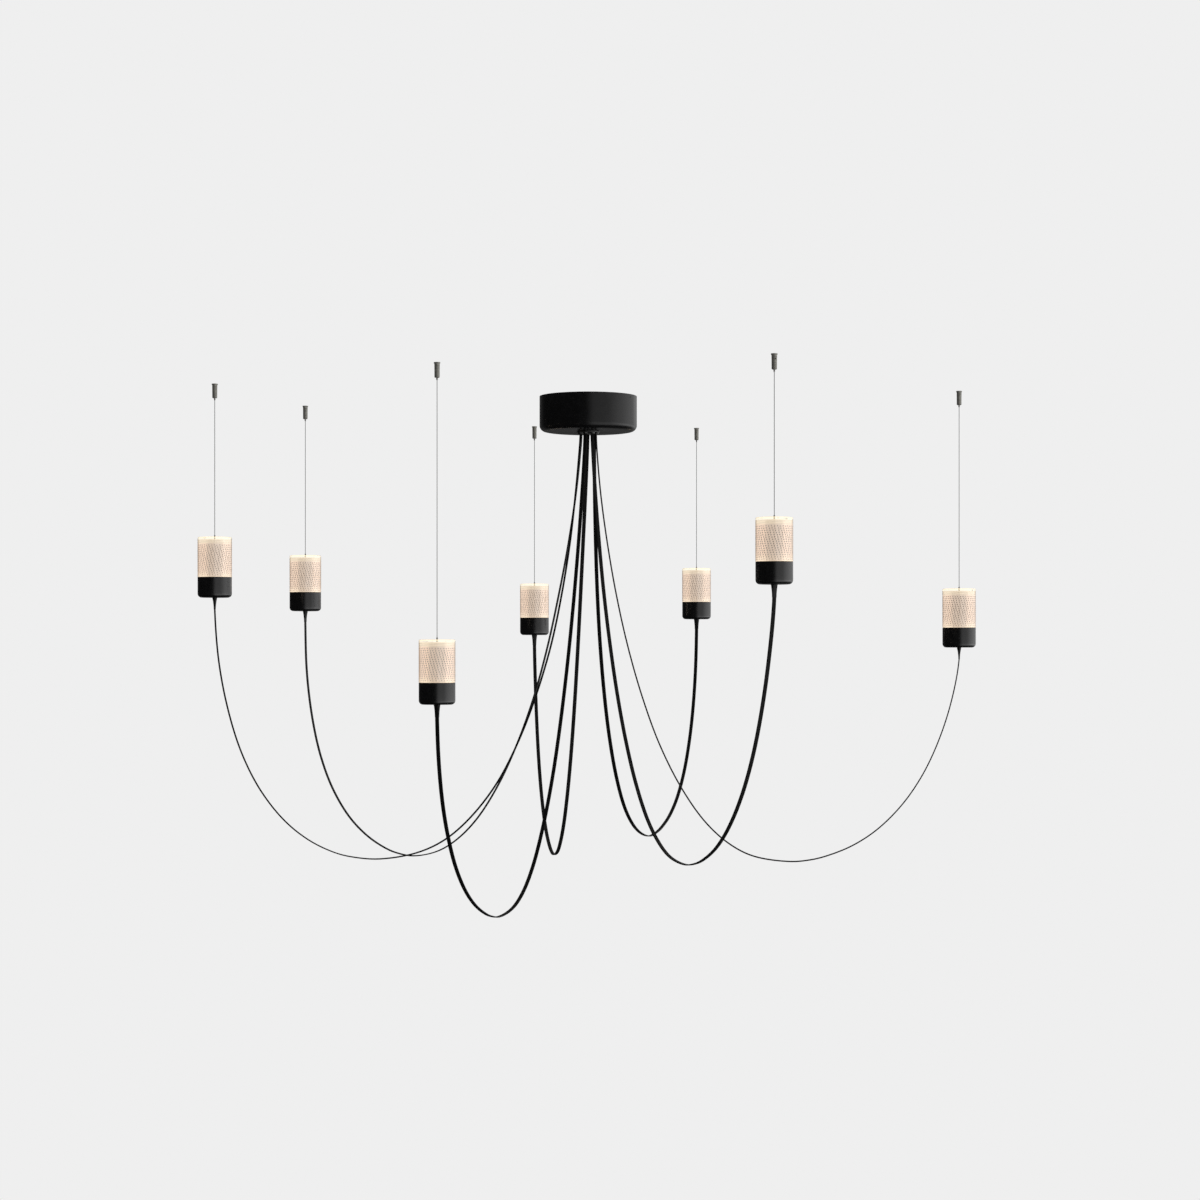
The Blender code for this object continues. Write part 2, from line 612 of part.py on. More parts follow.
def glass_profile():
    """Return the glass's half section, about the cup's underside."""
    corner_centre = (CUP_RADIUS - GLASS_CORNER, GLASS_TOP_Z - GLASS_CORNER)
    spigot_low = GLASS_SEAT_Z - GLASS_SPIGOT_LENGTH
    inner_top = GLASS_TOP_Z - GLASS_ROOF
    return [
        (GLASS_HOLE_RADIUS, GLASS_TOP_Z),
        *arc(corner_centre, GLASS_CORNER, 90, 0, LAMP_CORNER_STEPS),
        (CUP_RADIUS, GLASS_SEAT_Z),
        (GLASS_SPIGOT_RADIUS, GLASS_SEAT_Z),
        (GLASS_SPIGOT_RADIUS, spigot_low),
        (GLASS_INNER_RADIUS, spigot_low),
        (GLASS_INNER_RADIUS, inner_top),
        (GLASS_HOLE_RADIUS, inner_top),
    ]


def cup_profile():
    """Return the cup's half section, standing on z = 0."""
    neck_hole = BOOT_NECK_DIAMETER / 2 + SIDE_GAP
    return [
        (CUP_RADIUS, CUP_HEIGHT),
        *arc((CUP_RADIUS - CUP_CORNER, CUP_CORNER), CUP_CORNER, 0, -90, LAMP_CORNER_STEPS),
        (neck_hole, 0),
        (neck_hole, CUP_FLOOR),
        (CUP_RADIUS - CUP_CORNER, CUP_FLOOR),
        (CUP_INNER_RADIUS, CUP_CORNER),
        (CUP_INNER_RADIUS, CUP_HEIGHT),
    ]


def engine_profile():
    """Return the light engine's half section, about the cup's underside."""
    board = CUP_INNER_RADIUS - BOARD_EDGE_GAP
    sink = HEAT_SINK_DIAMETER / 2
    bore = WIRE_RADIUS + SIDE_GAP
    return [
        (board, BOARD_TOP_Z),
        (board, BOARD_BOTTOM_Z),
        (sink, BOARD_BOTTOM_Z),
        (sink, ENGINE_FOOT_Z),
        (ENGINE_RECESS_RADIUS, ENGINE_FOOT_Z),
        (ENGINE_RECESS_RADIUS, ENGINE_RECESS_Z),
        (bore, ENGINE_RECESS_Z),
        (bore, BOARD_TOP_Z),
    ]


def boot_sections():
    """Return the boot's sections from top to bottom: height, half depth in X, half width in Y."""
    head = BOOT_HEAD_DIAMETER / 2
    neck = BOOT_NECK_DIAMETER / 2
    end_depth = CORD_THICKNESS / 2 + BOOT_SKIN
    end_width = CORD_WIDTH / 2 + BOOT_SKIN
    sections = [
        (BOOT_HEAD_TOP_Z, head, head),
        (ENGINE_FOOT_Z, head, head),
        (ENGINE_FOOT_Z, neck, neck),
        (-SEAT_GAP, neck, neck),
    ]
    for along, taper in zip(BOOT_LENGTH_SHARES, BOOT_TAPER_SHARES):
        depth = BOOT_DEPTH / 2 * (1 - taper) + end_depth * taper
        width = BOOT_WIDTH / 2 * (1 - taper) + end_width * taper
        sections.append((-SEAT_GAP - BOOT_LENGTH * along, depth, width))
    return sections


def boot_mesh():
    """Return the boot, lofted from its round head through its oval collar to the flat cord."""
    shape = bmesh.new()
    rings = []
    for z, depth, width in boot_sections():
        ring = []
        for i in range(SMALL_SEGMENTS):
            angle = math.tau * i / SMALL_SEGMENTS
            ring.append(shape.verts.new((depth * math.cos(angle), width * math.sin(angle), z)))
        rings.append(ring)
    for upper, lower in zip(rings, rings[1:]):
        for i in range(SMALL_SEGMENTS):
            j = (i + 1) % SMALL_SEGMENTS
            shape.faces.new((upper[i], lower[i], lower[j], upper[j]))
    shape.faces.new(rings[0])
    shape.faces.new(reversed(rings[-1]))
    return finish_mesh("cord_boot", shape)


def route_points(lamp):
    """Return a cord's route as (reach, height) from its outlet's mouth."""
    reach = (wire_place(lamp) - outlet_place(lamp)).xy.length
    low = -LOOP_DROP * LOOP_DROP_SHARES[lamp]
    lamp_end = BOOT_END_Z - SEAT_GAP - LAMP_DROP * LAMP_DROP_SHARES[lamp]
    points = []
    for side, top in enumerate((GLAND_MOUTH_Z, lamp_end)):
        for along, height in zip(ROUTE_REACH_SHARES[lamp][side], ROUTE_HEIGHT_SHARES[side]):
            points.append(Vector((reach * along, low + (top - low) * height - GLAND_MOUTH_Z)))
    return points


def smooth_curve(points):
    """Return close samples of a smooth curve through points, upright at both ends."""
    first = points[0] + Vector((0, (points[0] - points[1]).length))
    last = points[-1] + Vector((0, (points[-1] - points[-2]).length))
    knots = [first, *points, last]
    samples = [points[0]]
    for i in range(1, len(knots) - 2):
        a, b, c, d = knots[i - 1 : i + 3]
        ab, bc, cd = ((q - p).length ** 0.5 for p, q in ((a, b), (b, c), (c, d)))
        leave = ((b - a) / ab - (c - a) / (ab + bc) + (c - b) / bc) * bc
        arrive = ((c - b) / bc - (d - b) / (bc + cd) + (d - c) / cd) * bc
        for step in range(1, ROUTE_STEPS + 1):
            t = step / ROUTE_STEPS
            samples.append(
                b * (2 * t**3 - 3 * t**2 + 1)
                + leave * (t**3 - 2 * t**2 + t)
                + c * (3 * t**2 - 2 * t**3)
                + arrive * (t**3 - t**2)
            )
    return samples


def cord_points(lamp):
    """Return the cord's own points: close where it turns, wider where it runs straight."""
    samples = smooth_curve(route_points(lamp))
    longest = CORD_LONGEST_STEP_SHARE * samples[-1].x
    turn_step = math.radians(CORD_TURN_STEP)
    kept = [samples[0]]
    run = 0.0
    turned = 0.0
    for i in range(1, len(samples) - 1):
        run += (samples[i] - samples[i - 1]).length
        turned += abs((samples[i + 1] - samples[i]).angle_signed(samples[i] - samples[i - 1], 0.0))
        if turned >= turn_step or run >= longest:
            kept.append(samples[i])
            run = 0.0
            turned = 0.0
    if (kept[-1] - samples[-1]).length < longest / 4:
        kept.pop()
    kept.append(samples[-1])
    inside = Vector((0, CORD_SOCKET_DEPTH - SEAT_GAP))
    return [kept[0] + inside, *kept]


def build_flat_cord(lamp, parts, material):
    """Make one flat cord as an extruded, rounded ribbon in its loop's plane."""
    name = f"flat_cord_{lamp + 1}"
    curve = bpy.data.curves.new(name, "CURVE")
    curve.dimensions = "2D"
    curve.fill_mode = "NONE"
    curve.extrude = (CORD_WIDTH - CORD_THICKNESS) / 2
    curve.bevel_depth = CORD_THICKNESS / 2
    curve.bevel_resolution = 0
    curve.use_fill_caps = True
    spline = curve.splines.new("POLY")
    points = cord_points(lamp)
    spline.points.add(len(points) - 1)
    for knot, point in zip(spline.points, points):
        knot.co = (point.x, point.y, 0, 1)
    cord = add_object(name, curve, parts, material, location=outlet_place(lamp))
    cord.rotation_euler = (math.pi / 2, 0, loop_azimuth(lamp))
    return cord


def build_lamp(lamp, parts, cutters, meshes, finishes):
    """Place one lamp's gripper, nozzle, wire, glass, cup, light engine and boot on its own axis."""
    number = lamp + 1
    drop = LAMP_DROP * LAMP_DROP_SHARES[lamp]
    axis = bpy.data.objects.new(f"lamp_axis_{number}", None)
    axis.location = wire_place(lamp)
    parts.objects.link(axis)
    foot = (0, 0, -GRIPPER_LENGTH)
    head = (0, 0, -drop)
    wire = profile_mesh(f"suspension_wire_{number}", wire_profile(drop), False)
    mesh = meshes["ceiling_gripper"]
    gripper = add_object(f"ceiling_gripper_{number}", mesh, parts, finishes["ceiling_gripper"], axis)
    turn_profile(gripper, SMALL_SEGMENTS)
    cut_side_exit(gripper, lamp, axis, cutters)
    pieces = (
        ("release_nozzle", meshes["release_nozzle"], foot, FINE_SEGMENTS),
        ("suspension_wire", wire, head, WIRE_SEGMENTS),
        ("glass_shade", meshes["glass_shade"], head, LAMP_SEGMENTS),
        ("lamp_cup", meshes["lamp_cup"], head, LAMP_SEGMENTS),
        ("light_engine", meshes["light_engine"], head, SMALL_SEGMENTS),
    )
    for name, mesh, place, segments in pieces:
        piece = add_object(f"{name}_{number}", mesh, parts, finishes[name], axis, place)
        turn_profile(piece, segments)
    boot_name = f"cord_boot_{number}"
    add_object(boot_name, meshes["cord_boot"], parts, finishes["cord_boot"], axis, head, loop_azimuth(lamp))


def main():
    """Build the whole chandelier."""
    clear_scene()
    parts = make_collection("glass_pendant_chandelier")
    cutters = make_collection("cutters")
    black = make_material("satin_black_paint", (0.012, 0.012, 0.012), 0.38)
    rubber = make_material("black_cord_rubber", (0.008, 0.008, 0.008), 0.6)
    finishes = {
        "ceiling_gripper": make_material("gunmetal", (0.16, 0.155, 0.145), 0.35, 0.9),
        "release_nozzle": make_material("nickel", (0.3, 0.3, 0.29), 0.3, 1.0),
        "suspension_wire": make_material("steel_wire", (0.45, 0.45, 0.45), 0.35, 1.0),
        "glass_shade": make_material("lit_glass", (0.86, 0.74, 0.64), 0.05, 0.0, 0.8),
        "lamp_cup": black,
        "light_engine": make_material("cast_heat_sink", (0.5, 0.5, 0.5), 0.45, 0.9),
        "cord_boot": rubber,
    }
    build_ceiling_plate(parts, cutters, make_material("zinc_plate", (0.55, 0.55, 0.54), 0.4, 1.0))
    build_canopy_cover(parts, cutters, black)
    build_led_driver(parts, cutters, make_material("driver_housing", (0.8, 0.8, 0.78), 0.5))
    build_cord_gland(parts, cutters, make_material("black_nylon", (0.01, 0.01, 0.01), 0.5))
    meshes = {
        "ceiling_gripper": profile_mesh("ceiling_gripper", gripper_profile(), False),
        "release_nozzle": profile_mesh("release_nozzle", nozzle_profile(), True),
        "glass_shade": profile_mesh("glass_shade", glass_profile(), True),
        "lamp_cup": profile_mesh("lamp_cup", cup_profile(), True),
        "light_engine": profile_mesh("light_engine", engine_profile(), True),
        "cord_boot": boot_mesh(),
    }
    for lamp in range(len(LAMP_AZIMUTHS)):
        build_lamp(lamp, parts, cutters, meshes, finishes)
        build_flat_cord(lamp, parts, rubber)


main()
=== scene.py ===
"""Glass pendant chandelier: finishes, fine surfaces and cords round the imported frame.

Metres, +Z up. The ceiling is the plane z = 0. Lamps are numbered from left to right as seen along +Y.
"""

import logging
import math
from dataclasses import dataclass, replace
from enum import Enum
from typing import ClassVar, Sequence

import bmesh
import bpy
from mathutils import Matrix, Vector


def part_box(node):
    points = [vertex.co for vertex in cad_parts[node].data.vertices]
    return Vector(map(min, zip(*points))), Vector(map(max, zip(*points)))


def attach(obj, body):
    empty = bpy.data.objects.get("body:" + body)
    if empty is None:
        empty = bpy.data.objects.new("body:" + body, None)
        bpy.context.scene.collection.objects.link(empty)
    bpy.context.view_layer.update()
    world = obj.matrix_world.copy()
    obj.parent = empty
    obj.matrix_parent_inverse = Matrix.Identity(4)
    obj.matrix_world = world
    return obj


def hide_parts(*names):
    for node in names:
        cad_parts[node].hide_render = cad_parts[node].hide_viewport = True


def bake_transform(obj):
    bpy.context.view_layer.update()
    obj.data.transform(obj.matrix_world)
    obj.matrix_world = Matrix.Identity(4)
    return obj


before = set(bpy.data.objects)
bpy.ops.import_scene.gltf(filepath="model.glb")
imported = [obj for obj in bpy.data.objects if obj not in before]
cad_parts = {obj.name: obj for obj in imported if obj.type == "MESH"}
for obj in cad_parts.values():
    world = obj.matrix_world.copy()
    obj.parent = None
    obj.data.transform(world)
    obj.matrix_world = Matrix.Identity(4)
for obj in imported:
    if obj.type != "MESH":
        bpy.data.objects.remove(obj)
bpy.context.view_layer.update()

LOG = logging.getLogger("chandelier")
MM = 0.001
TINY = MM / 1000
LAMPS = range(1, 8)

Colour = tuple[float, float, float]
Span = tuple[float, float]
Outline = list[tuple[float, float]]
Socket = bpy.types.NodeSocket
Sockets = bpy.types.NodeOutputs

BLACK: Colour = (0.0, 0.0, 0.0)
WHOLE: Span = (0.0, 1.0)


class NodeSheet:
    """Short calls that lay out one node tree."""

    def __init__(self, tree: bpy.types.NodeTree) -> None:
        """Remember the tree that the calls add to."""
        self.tree = tree

    def feed(self, target: Socket, value: object) -> None:
        """Link a socket to an input, or write a plain value on it.

        Args:
            target: The input.
            value: A socket, a number or a tuple.
        """
        if isinstance(value, Socket):
            self.tree.links.new(value, target)
        else:
            target.default_value = value

    def fill(self, node: bpy.types.Node, feeds: dict[str, object]) -> bpy.types.Node:
        """Feed a node's inputs by their names.

        Args:
            node: The node.
            feeds: A value or a socket for each input.

        Returns:
            The same node.
        """
        for name, value in feeds.items():
            self.feed(node.inputs[name], value)
        return node

    def add(self, kind: str, feeds: dict[str, object] | None = None, **settings: object) -> bpy.types.Node:
        """Add a node.

        Args:
            kind: The node's type name.
            feeds: Values or sockets for its named inputs.
            **settings: Values for its properties.

        Returns:
            The new node.
        """
        node = self.tree.nodes.new(kind)
        for name, value in settings.items():
            setattr(node, name, value)
        return self.fill(node, feeds or {})

    def sum(self, operation: str, *values: object) -> Socket:
        """Add a Math node.

        Args:
            operation: Its operation, such as MULTIPLY.
            *values: Its one to three inputs.

        Returns:
            The result's socket.
        """
        node = self.add("ShaderNodeMath", operation=operation)
        for socket, value in zip(node.inputs, values):
            self.feed(socket, value)
        return node.outputs[0]

    def remap(self, value: Socket, source: Span, target: Span = WHOLE) -> Socket:
        """Map a value smoothly from one span to another.

        Args:
            value: The value's socket.
            source: The span that it comes in.
            target: The span that it leaves in.

        Returns:
            The mapped value's socket.
        """
        node = self.add("ShaderNodeMapRange", interpolation_type="SMOOTHSTEP")
        for socket, number in zip(node.inputs, (value, *source, *target)):
            self.feed(socket, number)
        return node.outputs[0]

    def mix(self, factor: object, low: object, high: object) -> Socket:
        """Mix two colours.

        Args:
            factor: 0 for the first, 1 for the second.
            low: The first colour.
            high: The second colour.

        Returns:
            The mixed colour's socket.
        """
        node = self.add("ShaderNodeMix", data_type="RGBA")
        inputs = {socket.identifier: socket for socket in node.inputs}
        for name, value in (("Factor_Float", factor), ("A_Color", low), ("B_Color", high)):
            self.feed(inputs[name], (*value, 1.0) if isinstance(value, tuple) else value)
        return next(socket for socket in node.outputs if socket.identifier == "Result_Color")

    def place(self) -> Socket:
        """Return the point in the piece's own coordinates."""
        return self.add("ShaderNodeTexCoord").outputs["Object"]

    def split(self, vector: Socket) -> Sockets:
        """Return a vector's X, Y and Z."""
        return self.add("ShaderNodeSeparateXYZ", {"Vector": vector}).outputs

    def noise(self, scale: object, detail: float) -> Socket:
        """Return a noise through the piece."""
        feeds = {"Vector": self.place(), "Scale": scale, "Detail": detail}
        return self.add("ShaderNodeTexNoise", feeds).outputs[0]

    def stripes(self, travel: Socket) -> Socket:
        """Return uneven stripes along a travel that is counted in stripes."""
        feeds = {"W": travel, "Scale": 1.0}
        return self.add("ShaderNodeTexNoise", feeds, noise_dimensions="1D").outputs[0]

    def facing(self) -> Socket:
        """Return 0 where the surface faces the eye, rising to 1 at its outline."""
        return self.add("ShaderNodeLayerWeight", {"Blend": 0.5}).outputs["Facing"]

    def bump(self, height: Socket, depth: float) -> Socket:
        """Return the normal that heights of that depth give."""
        return self.add("ShaderNodeBump", {"Height": height, "Distance": depth}).outputs["Normal"]


class Effect(Enum):
    """The surface effects that several finishes share."""

    GRAIN = "fine_grain"
    DUST = "settled_dust"
    LATHE = "lathe_lines"
    WEAR = "edge_wear"
    GLOW = "edge_lit_glow"


class EffectShelf:
    """Builds each shared node group once and places it in materials."""

    MOTTLE_SCALE: float = 0.06  # of the grain's scale
    MOTTLE_SPAN: Span = (0.3, 0.7)
    LEVEL_SPAN: Span = (0.4, 1.0)  # of the normal's Z
    SPECK_SCALE: float = 700.0
    SPECK_SPAN: Span = (0.35, 0.7)
    SPECK_COVER: Span = (0.2, 1.0)
    BAND_SCALE: float = 0.12  # of the lines' scale
    TONE_SPAN: Span = (0.1, 0.45)
    EDGE_SPAN: Span = (0.51, 0.58)  # of the pointiness
    RUB_SCALE: float = 160.0
    RUB_SPAN: Span = (0.45, 0.65)
    RIM_HEIGHT: float = 42.3 * MM  # over the cup's underside
    TOP_HEIGHT: float = 124.3 * MM  # over the cup's underside
    FADE: float = 9.0 * MM  # the unit of the four spans below
    TOP_SPAN: Span = (0.25, 0.75)  # below the glass's top
    DEPTH_SPAN: Span = (1.2, 1.8)  # below the glass's top
    LINE_SPAN: Span = (0.05, 0.4)  # above the cup's rim
    LINE_LEVEL: float = 0.55
    FOOT_SPAN: Span = (0.3, 1.8)  # above the cup's rim
    FOOT_LEVEL: float = 0.25

    def __init__(self) -> None:
        """Build the groups."""
        self.groups = {
            Effect.GRAIN: self.grain(),
            Effect.DUST: self.dust(),
            Effect.LATHE: self.lathe(),
            Effect.WEAR: self.wear(),
            Effect.GLOW: self.glow(),
        }

    def use(self, sheet: NodeSheet, effect: Effect, **values: float) -> Sockets:
        """Place a group in a material, with its inputs by name in lower case, and return its outputs."""
        feeds = {name.capitalize(): value for name, value in values.items()}
        return sheet.add("ShaderNodeGroup", feeds, node_tree=self.groups[effect]).outputs

    @staticmethod
    def start(
        effect: Effect, inputs: dict[str, float], outputs: Sequence[str]
    ) -> tuple[NodeSheet, Sockets, bpy.types.Node]:
        """Start a node group with its sockets.

        Args:
            effect: The effect that it makes.
            inputs: Its inputs and what they are by default.
            outputs: Its outputs' names.

        Returns:
            Its sheet, what its inputs give, and the node that takes its outputs.
        """
        tree = bpy.data.node_groups.new(effect.value, "ShaderNodeTree")
        for name, value in inputs.items():
            socket = tree.interface.new_socket(name, in_out="INPUT", socket_type="NodeSocketFloat")
            socket.default_value = value
        for name in outputs:
            tree.interface.new_socket(name, in_out="OUTPUT", socket_type="NodeSocketFloat")
        sheet = NodeSheet(tree)
        return sheet, sheet.add("NodeGroupInput").outputs, sheet.add("NodeGroupOutput")

    def grain(self) -> bpy.types.NodeTree:
        """Make the grain of paint, rubber and moulded plastic: its height and a slow mottle.

        Returns:
            The group's node tree.
        """
        sheet, given, made = self.start(Effect.GRAIN, {"Scale": 900.0}, ("Height", "Mottle"))
        slow = sheet.sum("MULTIPLY", given["Scale"], self.MOTTLE_SCALE)
        patches = sheet.noise(slow, detail=5.0)
        sheet.fill(made, {
            "Height": sheet.noise(given["Scale"], detail=3.0),
            "Mottle": sheet.remap(patches, self.MOTTLE_SPAN),
        })
        return sheet.tree

    def dust(self) -> bpy.types.NodeTree:
        """Make the dust that settles on faces that look up.

        Returns:
            The group's node tree.
        """
        sheet, given, made = self.start(Effect.DUST, {"Amount": 0.3}, ("Mask",))
        normal = sheet.add("ShaderNodeNewGeometry").outputs["Normal"]
        lying = sheet.remap(sheet.split(normal)["Z"], self.LEVEL_SPAN)
        specks = sheet.noise(self.SPECK_SCALE, detail=6.0)
        patchy = sheet.remap(specks, self.SPECK_SPAN, self.SPECK_COVER)
        mask = sheet.sum("MULTIPLY", sheet.sum("MULTIPLY", lying, patchy), given["Amount"])
        sheet.fill(made, {"Mask": mask})
        return sheet.tree

    def lathe(self) -> bpy.types.NodeTree:
        """Make the fine rings that turning or spinning leaves about a piece's own Z axis.

        Returns:
            The group's node tree.
        """
        sheet, given, made = self.start(Effect.LATHE, {"Pitch": 0.25 * MM}, ("Height", "Tone"))
        axes = sheet.split(sheet.place())
        square = sheet.sum("MULTIPLY", axes["X"], axes["X"])
        radius = sheet.sum("SQRT", sheet.sum("MULTIPLY_ADD", axes["Y"], axes["Y"], square))
        travel = sheet.sum("DIVIDE", sheet.sum("ADD", radius, axes["Z"]), given["Pitch"])
        lines = sheet.stripes(travel)
        bands = sheet.stripes(sheet.sum("MULTIPLY", travel, self.BAND_SCALE))
        tone = sheet.sum("MULTIPLY", lines, bands)
        sheet.fill(made, {"Height": lines, "Tone": sheet.remap(tone, self.TONE_SPAN)})
        return sheet.tree

    def wear(self) -> bpy.types.NodeTree:
        """Make the rubbed edges, where a convex edge meets a worn patch.

        Returns:
            The group's node tree.
        """
        sheet, given, made = self.start(Effect.WEAR, {"Amount": 0.4}, ("Mask",))
        point = sheet.add("ShaderNodeNewGeometry").outputs["Pointiness"]
        edge = sheet.remap(point, self.EDGE_SPAN)
        rubbed = sheet.remap(sheet.noise(self.RUB_SCALE, detail=6.0), self.RUB_SPAN)
        mask = sheet.sum("MULTIPLY", sheet.sum("MULTIPLY", edge, rubbed), given["Amount"])
        sheet.fill(made, {"Mask": mask})
        return sheet.tree

    def glow(self) -> bpy.types.NodeTree:
        """Make how brightly an edge-lit glass glows by height: most at its top and at the cup's rim.

        Returns:
            The group's node tree.
        """
        heights = {"Rim": self.RIM_HEIGHT, "Top": self.TOP_HEIGHT, "Fade": self.FADE}
        sheet, given, made = self.start(Effect.GLOW, heights, ("Band", "Foot", "Depth"))
        height = sheet.split(sheet.place())["Z"]
        below_top = sheet.sum("DIVIDE", sheet.sum("SUBTRACT", given["Top"], height), given["Fade"])
        above_rim = sheet.sum("DIVIDE", sheet.sum("SUBTRACT", height, given["Rim"]), given["Fade"])
        top = sheet.remap(below_top, self.TOP_SPAN, (1.0, 0.0))
        line = sheet.remap(above_rim, self.LINE_SPAN, (self.LINE_LEVEL, 0.0))
        low = sheet.sum("MAXIMUM", line, sheet.remap(above_rim, self.FOOT_SPAN, (self.FOOT_LEVEL, 0.0)))
        sheet.fill(made, {
            "Band": sheet.sum("MAXIMUM", top, low),
            "Foot": low,
            "Depth": sheet.remap(below_top, self.DEPTH_SPAN),
        })
        return sheet.tree


def shaded(colour: Colour, factor: float) -> Colour:
    """Return a colour made lighter or darker by a factor, as far as full white."""
    return tuple(min(1.0, part * factor) for part in colour)


def fresh_material(name: str) -> tuple[bpy.types.Material, NodeSheet, bpy.types.Node]:
    """Start a material.

    Args:
        name: Its name.

    Returns:
        The material, its node sheet and its Principled shader.
    """
    material = bpy.data.materials.new(name)
    material.use_nodes = True
    return material, NodeSheet(material.node_tree), material.node_tree.nodes["Principled BSDF"]


@dataclass(frozen=True)
class Finish:
    """A surface finish. Each kind adds its own detail to these plain values."""

    name: str
    slot: str
    colour: Colour
    roughness: float

    def material(self, shelf: EffectShelf) -> bpy.types.Material:
        """Build the finish.

        Args:
            shelf: The shared effects.

        Returns:
            The new material.
        """
        material, sheet, shader = fresh_material(self.name)
        sheet.fill(shader, self.detail(sheet, shelf))
        return material

    def detail(self, sheet: NodeSheet, shelf: EffectShelf) -> dict[str, object]:
        """Return what feeds the shader's inputs, by their names, to look like this kind of finish."""
        raise NotImplementedError


@dataclass(frozen=True)
class AgedFinish(Finish):
    """A finish whose tone varies a little, with rubbed edges and settled dust."""

    contrast: float = 0.25
    wear: float = 0.0
    dust: float = 0.15
    dust_colour: Colour = (0.30, 0.28, 0.25)
    dust_roughness: float = 0.4

    def aged(
        self, sheet: NodeSheet, shelf: EffectShelf, tone: Socket, spread: float, worn_colour: Colour
    ) -> dict[str, object]:
        """Make the varied, rubbed and dusty colour, and the roughness that goes with it.

        Args:
            sheet: The material's node sheet.
            shelf: The shared effects.
            tone: The mask of the lighter tone.
            spread: How much rougher than the middle the lighter tone is.
            worn_colour: The colour of a rubbed edge.

        Returns:
            What feeds the base colour and the roughness.
        """
        worn = shelf.use(sheet, Effect.WEAR, amount=self.wear)["Mask"]
        dust = shelf.use(sheet, Effect.DUST, amount=self.dust)["Mask"]
        deep, light = (shaded(self.colour, 1.0 + shift) for shift in (-self.contrast, self.contrast))
        rubbed = sheet.mix(worn, sheet.mix(tone, deep, light), worn_colour)
        rough = sheet.remap(tone, WHOLE, (self.roughness - spread, self.roughness + spread))
        return {
            "Base Color": sheet.mix(dust, rubbed, self.dust_colour),
            "Roughness": sheet.sum("MULTIPLY_ADD", dust, self.dust_roughness, rough),
        }


@dataclass(frozen=True)
class Coating(AgedFinish):
    """Paint, rubber or moulded plastic: grain, mottle, settled dust and rubbed edges."""

    grain_scale: float = 900.0
    grain_depth: float = 0.02 * MM
    worn_colour: Colour = (0.10, 0.10, 0.10)
    specular: float = 0.5

    def detail(self, sheet: NodeSheet, shelf: EffectShelf) -> dict[str, object]:
        """Add grain, mottle, dust and wear.

        Args:
            sheet: The material's node sheet.
            shelf: The shared effects.

        Returns:
            What feeds the shader's inputs, by their names.
        """
        grain = shelf.use(sheet, Effect.GRAIN, scale=self.grain_scale)
        spread = self.contrast * self.roughness / 2
        return {
            **self.aged(sheet, shelf, grain["Mottle"], spread, self.worn_colour),
            "Specular IOR Level": self.specular,
            "Normal": sheet.bump(grain["Height"], self.grain_depth),
        }


@dataclass(frozen=True)
class WorkedMetal(AgedFinish):
    """Turned, spun or plated metal with fine rings about its axis and slightly polished edges."""

    contrast: float = 0.22
    wear: float = 0.4
    dust: float = 0.08
    dust_colour: Colour = (0.3, 0.29, 0.27)
    dust_roughness: float = 0.5
    pitch: float = 0.25 * MM
    line_depth: float = 0.01 * MM
    polish: float = 1.8
    metal: float = 1.0

    def detail(self, sheet: NodeSheet, shelf: EffectShelf) -> dict[str, object]:
        """Add the rings, the polished edges and a little dust.

        Args:
            sheet: The material's node sheet.
            shelf: The shared effects.

        Returns:
            What feeds the shader's inputs, by their names.
        """
        lathe = shelf.use(sheet, Effect.LATHE, pitch=self.pitch)
        spread = -self.contrast * self.roughness
        return {
            **self.aged(sheet, shelf, lathe["Tone"], spread, shaded(self.colour, self.polish)),
            "Metallic": self.metal,
            "Normal": sheet.bump(lathe["Height"], self.line_depth),
        }


@dataclass(frozen=True)
class CastGlass(Finish):
    """Thick clear glass that glows where light leaves it, with painted shade that darkens it towards its
    outline as the eye sees it.
    """

    outline_shade_colour: Colour = (0.46, 0.38, 0.31)
    lit_colour: Colour = (1.0, 0.97, 0.86)
    glow_colour: Colour = (0.12, 0.10, 0.06)
    glow_strength: float = 1.0
    edge_span: Span = (0.60, 0.74)
    ior: float = 1.5
    ripple_scale: float = 45.0
    ripple_depth: float = 0.08 * MM

    def detail(self, sheet: NodeSheet, shelf: EffectShelf) -> dict[str, object]:
        """Add the glow, the painted dark outline and faint ripples.

        Args:
            sheet: The material's node sheet.
            shelf: The shared effects.

        Returns:
            What feeds the shader's inputs, by their names.
        """
        band = shelf.use(sheet, Effect.GLOW)["Band"]
        # Painted shade: the glass's colour darkens towards its outline by the view's angle, standing in for
        # what refraction shows at its edge.
        outline = sheet.remap(sheet.facing(), self.edge_span)
        edge = sheet.sum("MULTIPLY", outline, sheet.sum("SUBTRACT", 1.0, band))
        body = sheet.mix(band, self.colour, self.lit_colour)
        return {
            "Base Color": sheet.mix(edge, body, self.outline_shade_colour),
            "Emission Color": sheet.mix(band, BLACK, self.glow_colour),
            "Emission Strength": self.glow_strength,
            "Roughness": self.roughness,
            "IOR": self.ior,
            "Transmission Weight": 1.0,
            "Normal": sheet.bump(sheet.noise(self.ripple_scale, detail=1.0), self.ripple_depth),
        }


@dataclass(frozen=True)
class InnerFinish(Finish):
    """A fine-grained finish inside the glass, lit from behind and seen through the glass's smooth face."""

    grain_scale: float = 2600.0
    grain_depth: float = 0.03 * MM
    strength: float = 1.0
    coat: float = 1.0

    def sheen(self, sheet: NodeSheet, grain: Sockets) -> dict[str, object]:
        """Return what feeds the gloss, the grain and the light's strength.

        Args:
            sheet: The material's node sheet.
            grain: What the grain's group gives.

        Returns:
            The feeds, by the inputs' names.
        """
        return {
            "Emission Strength": self.strength,
            "Roughness": self.roughness,
            "Specular IOR Level": 1.0,
            "Coat Weight": self.coat,
            "Coat Roughness": self.roughness,
            "Normal": sheet.bump(grain["Height"], self.grain_depth),
        }


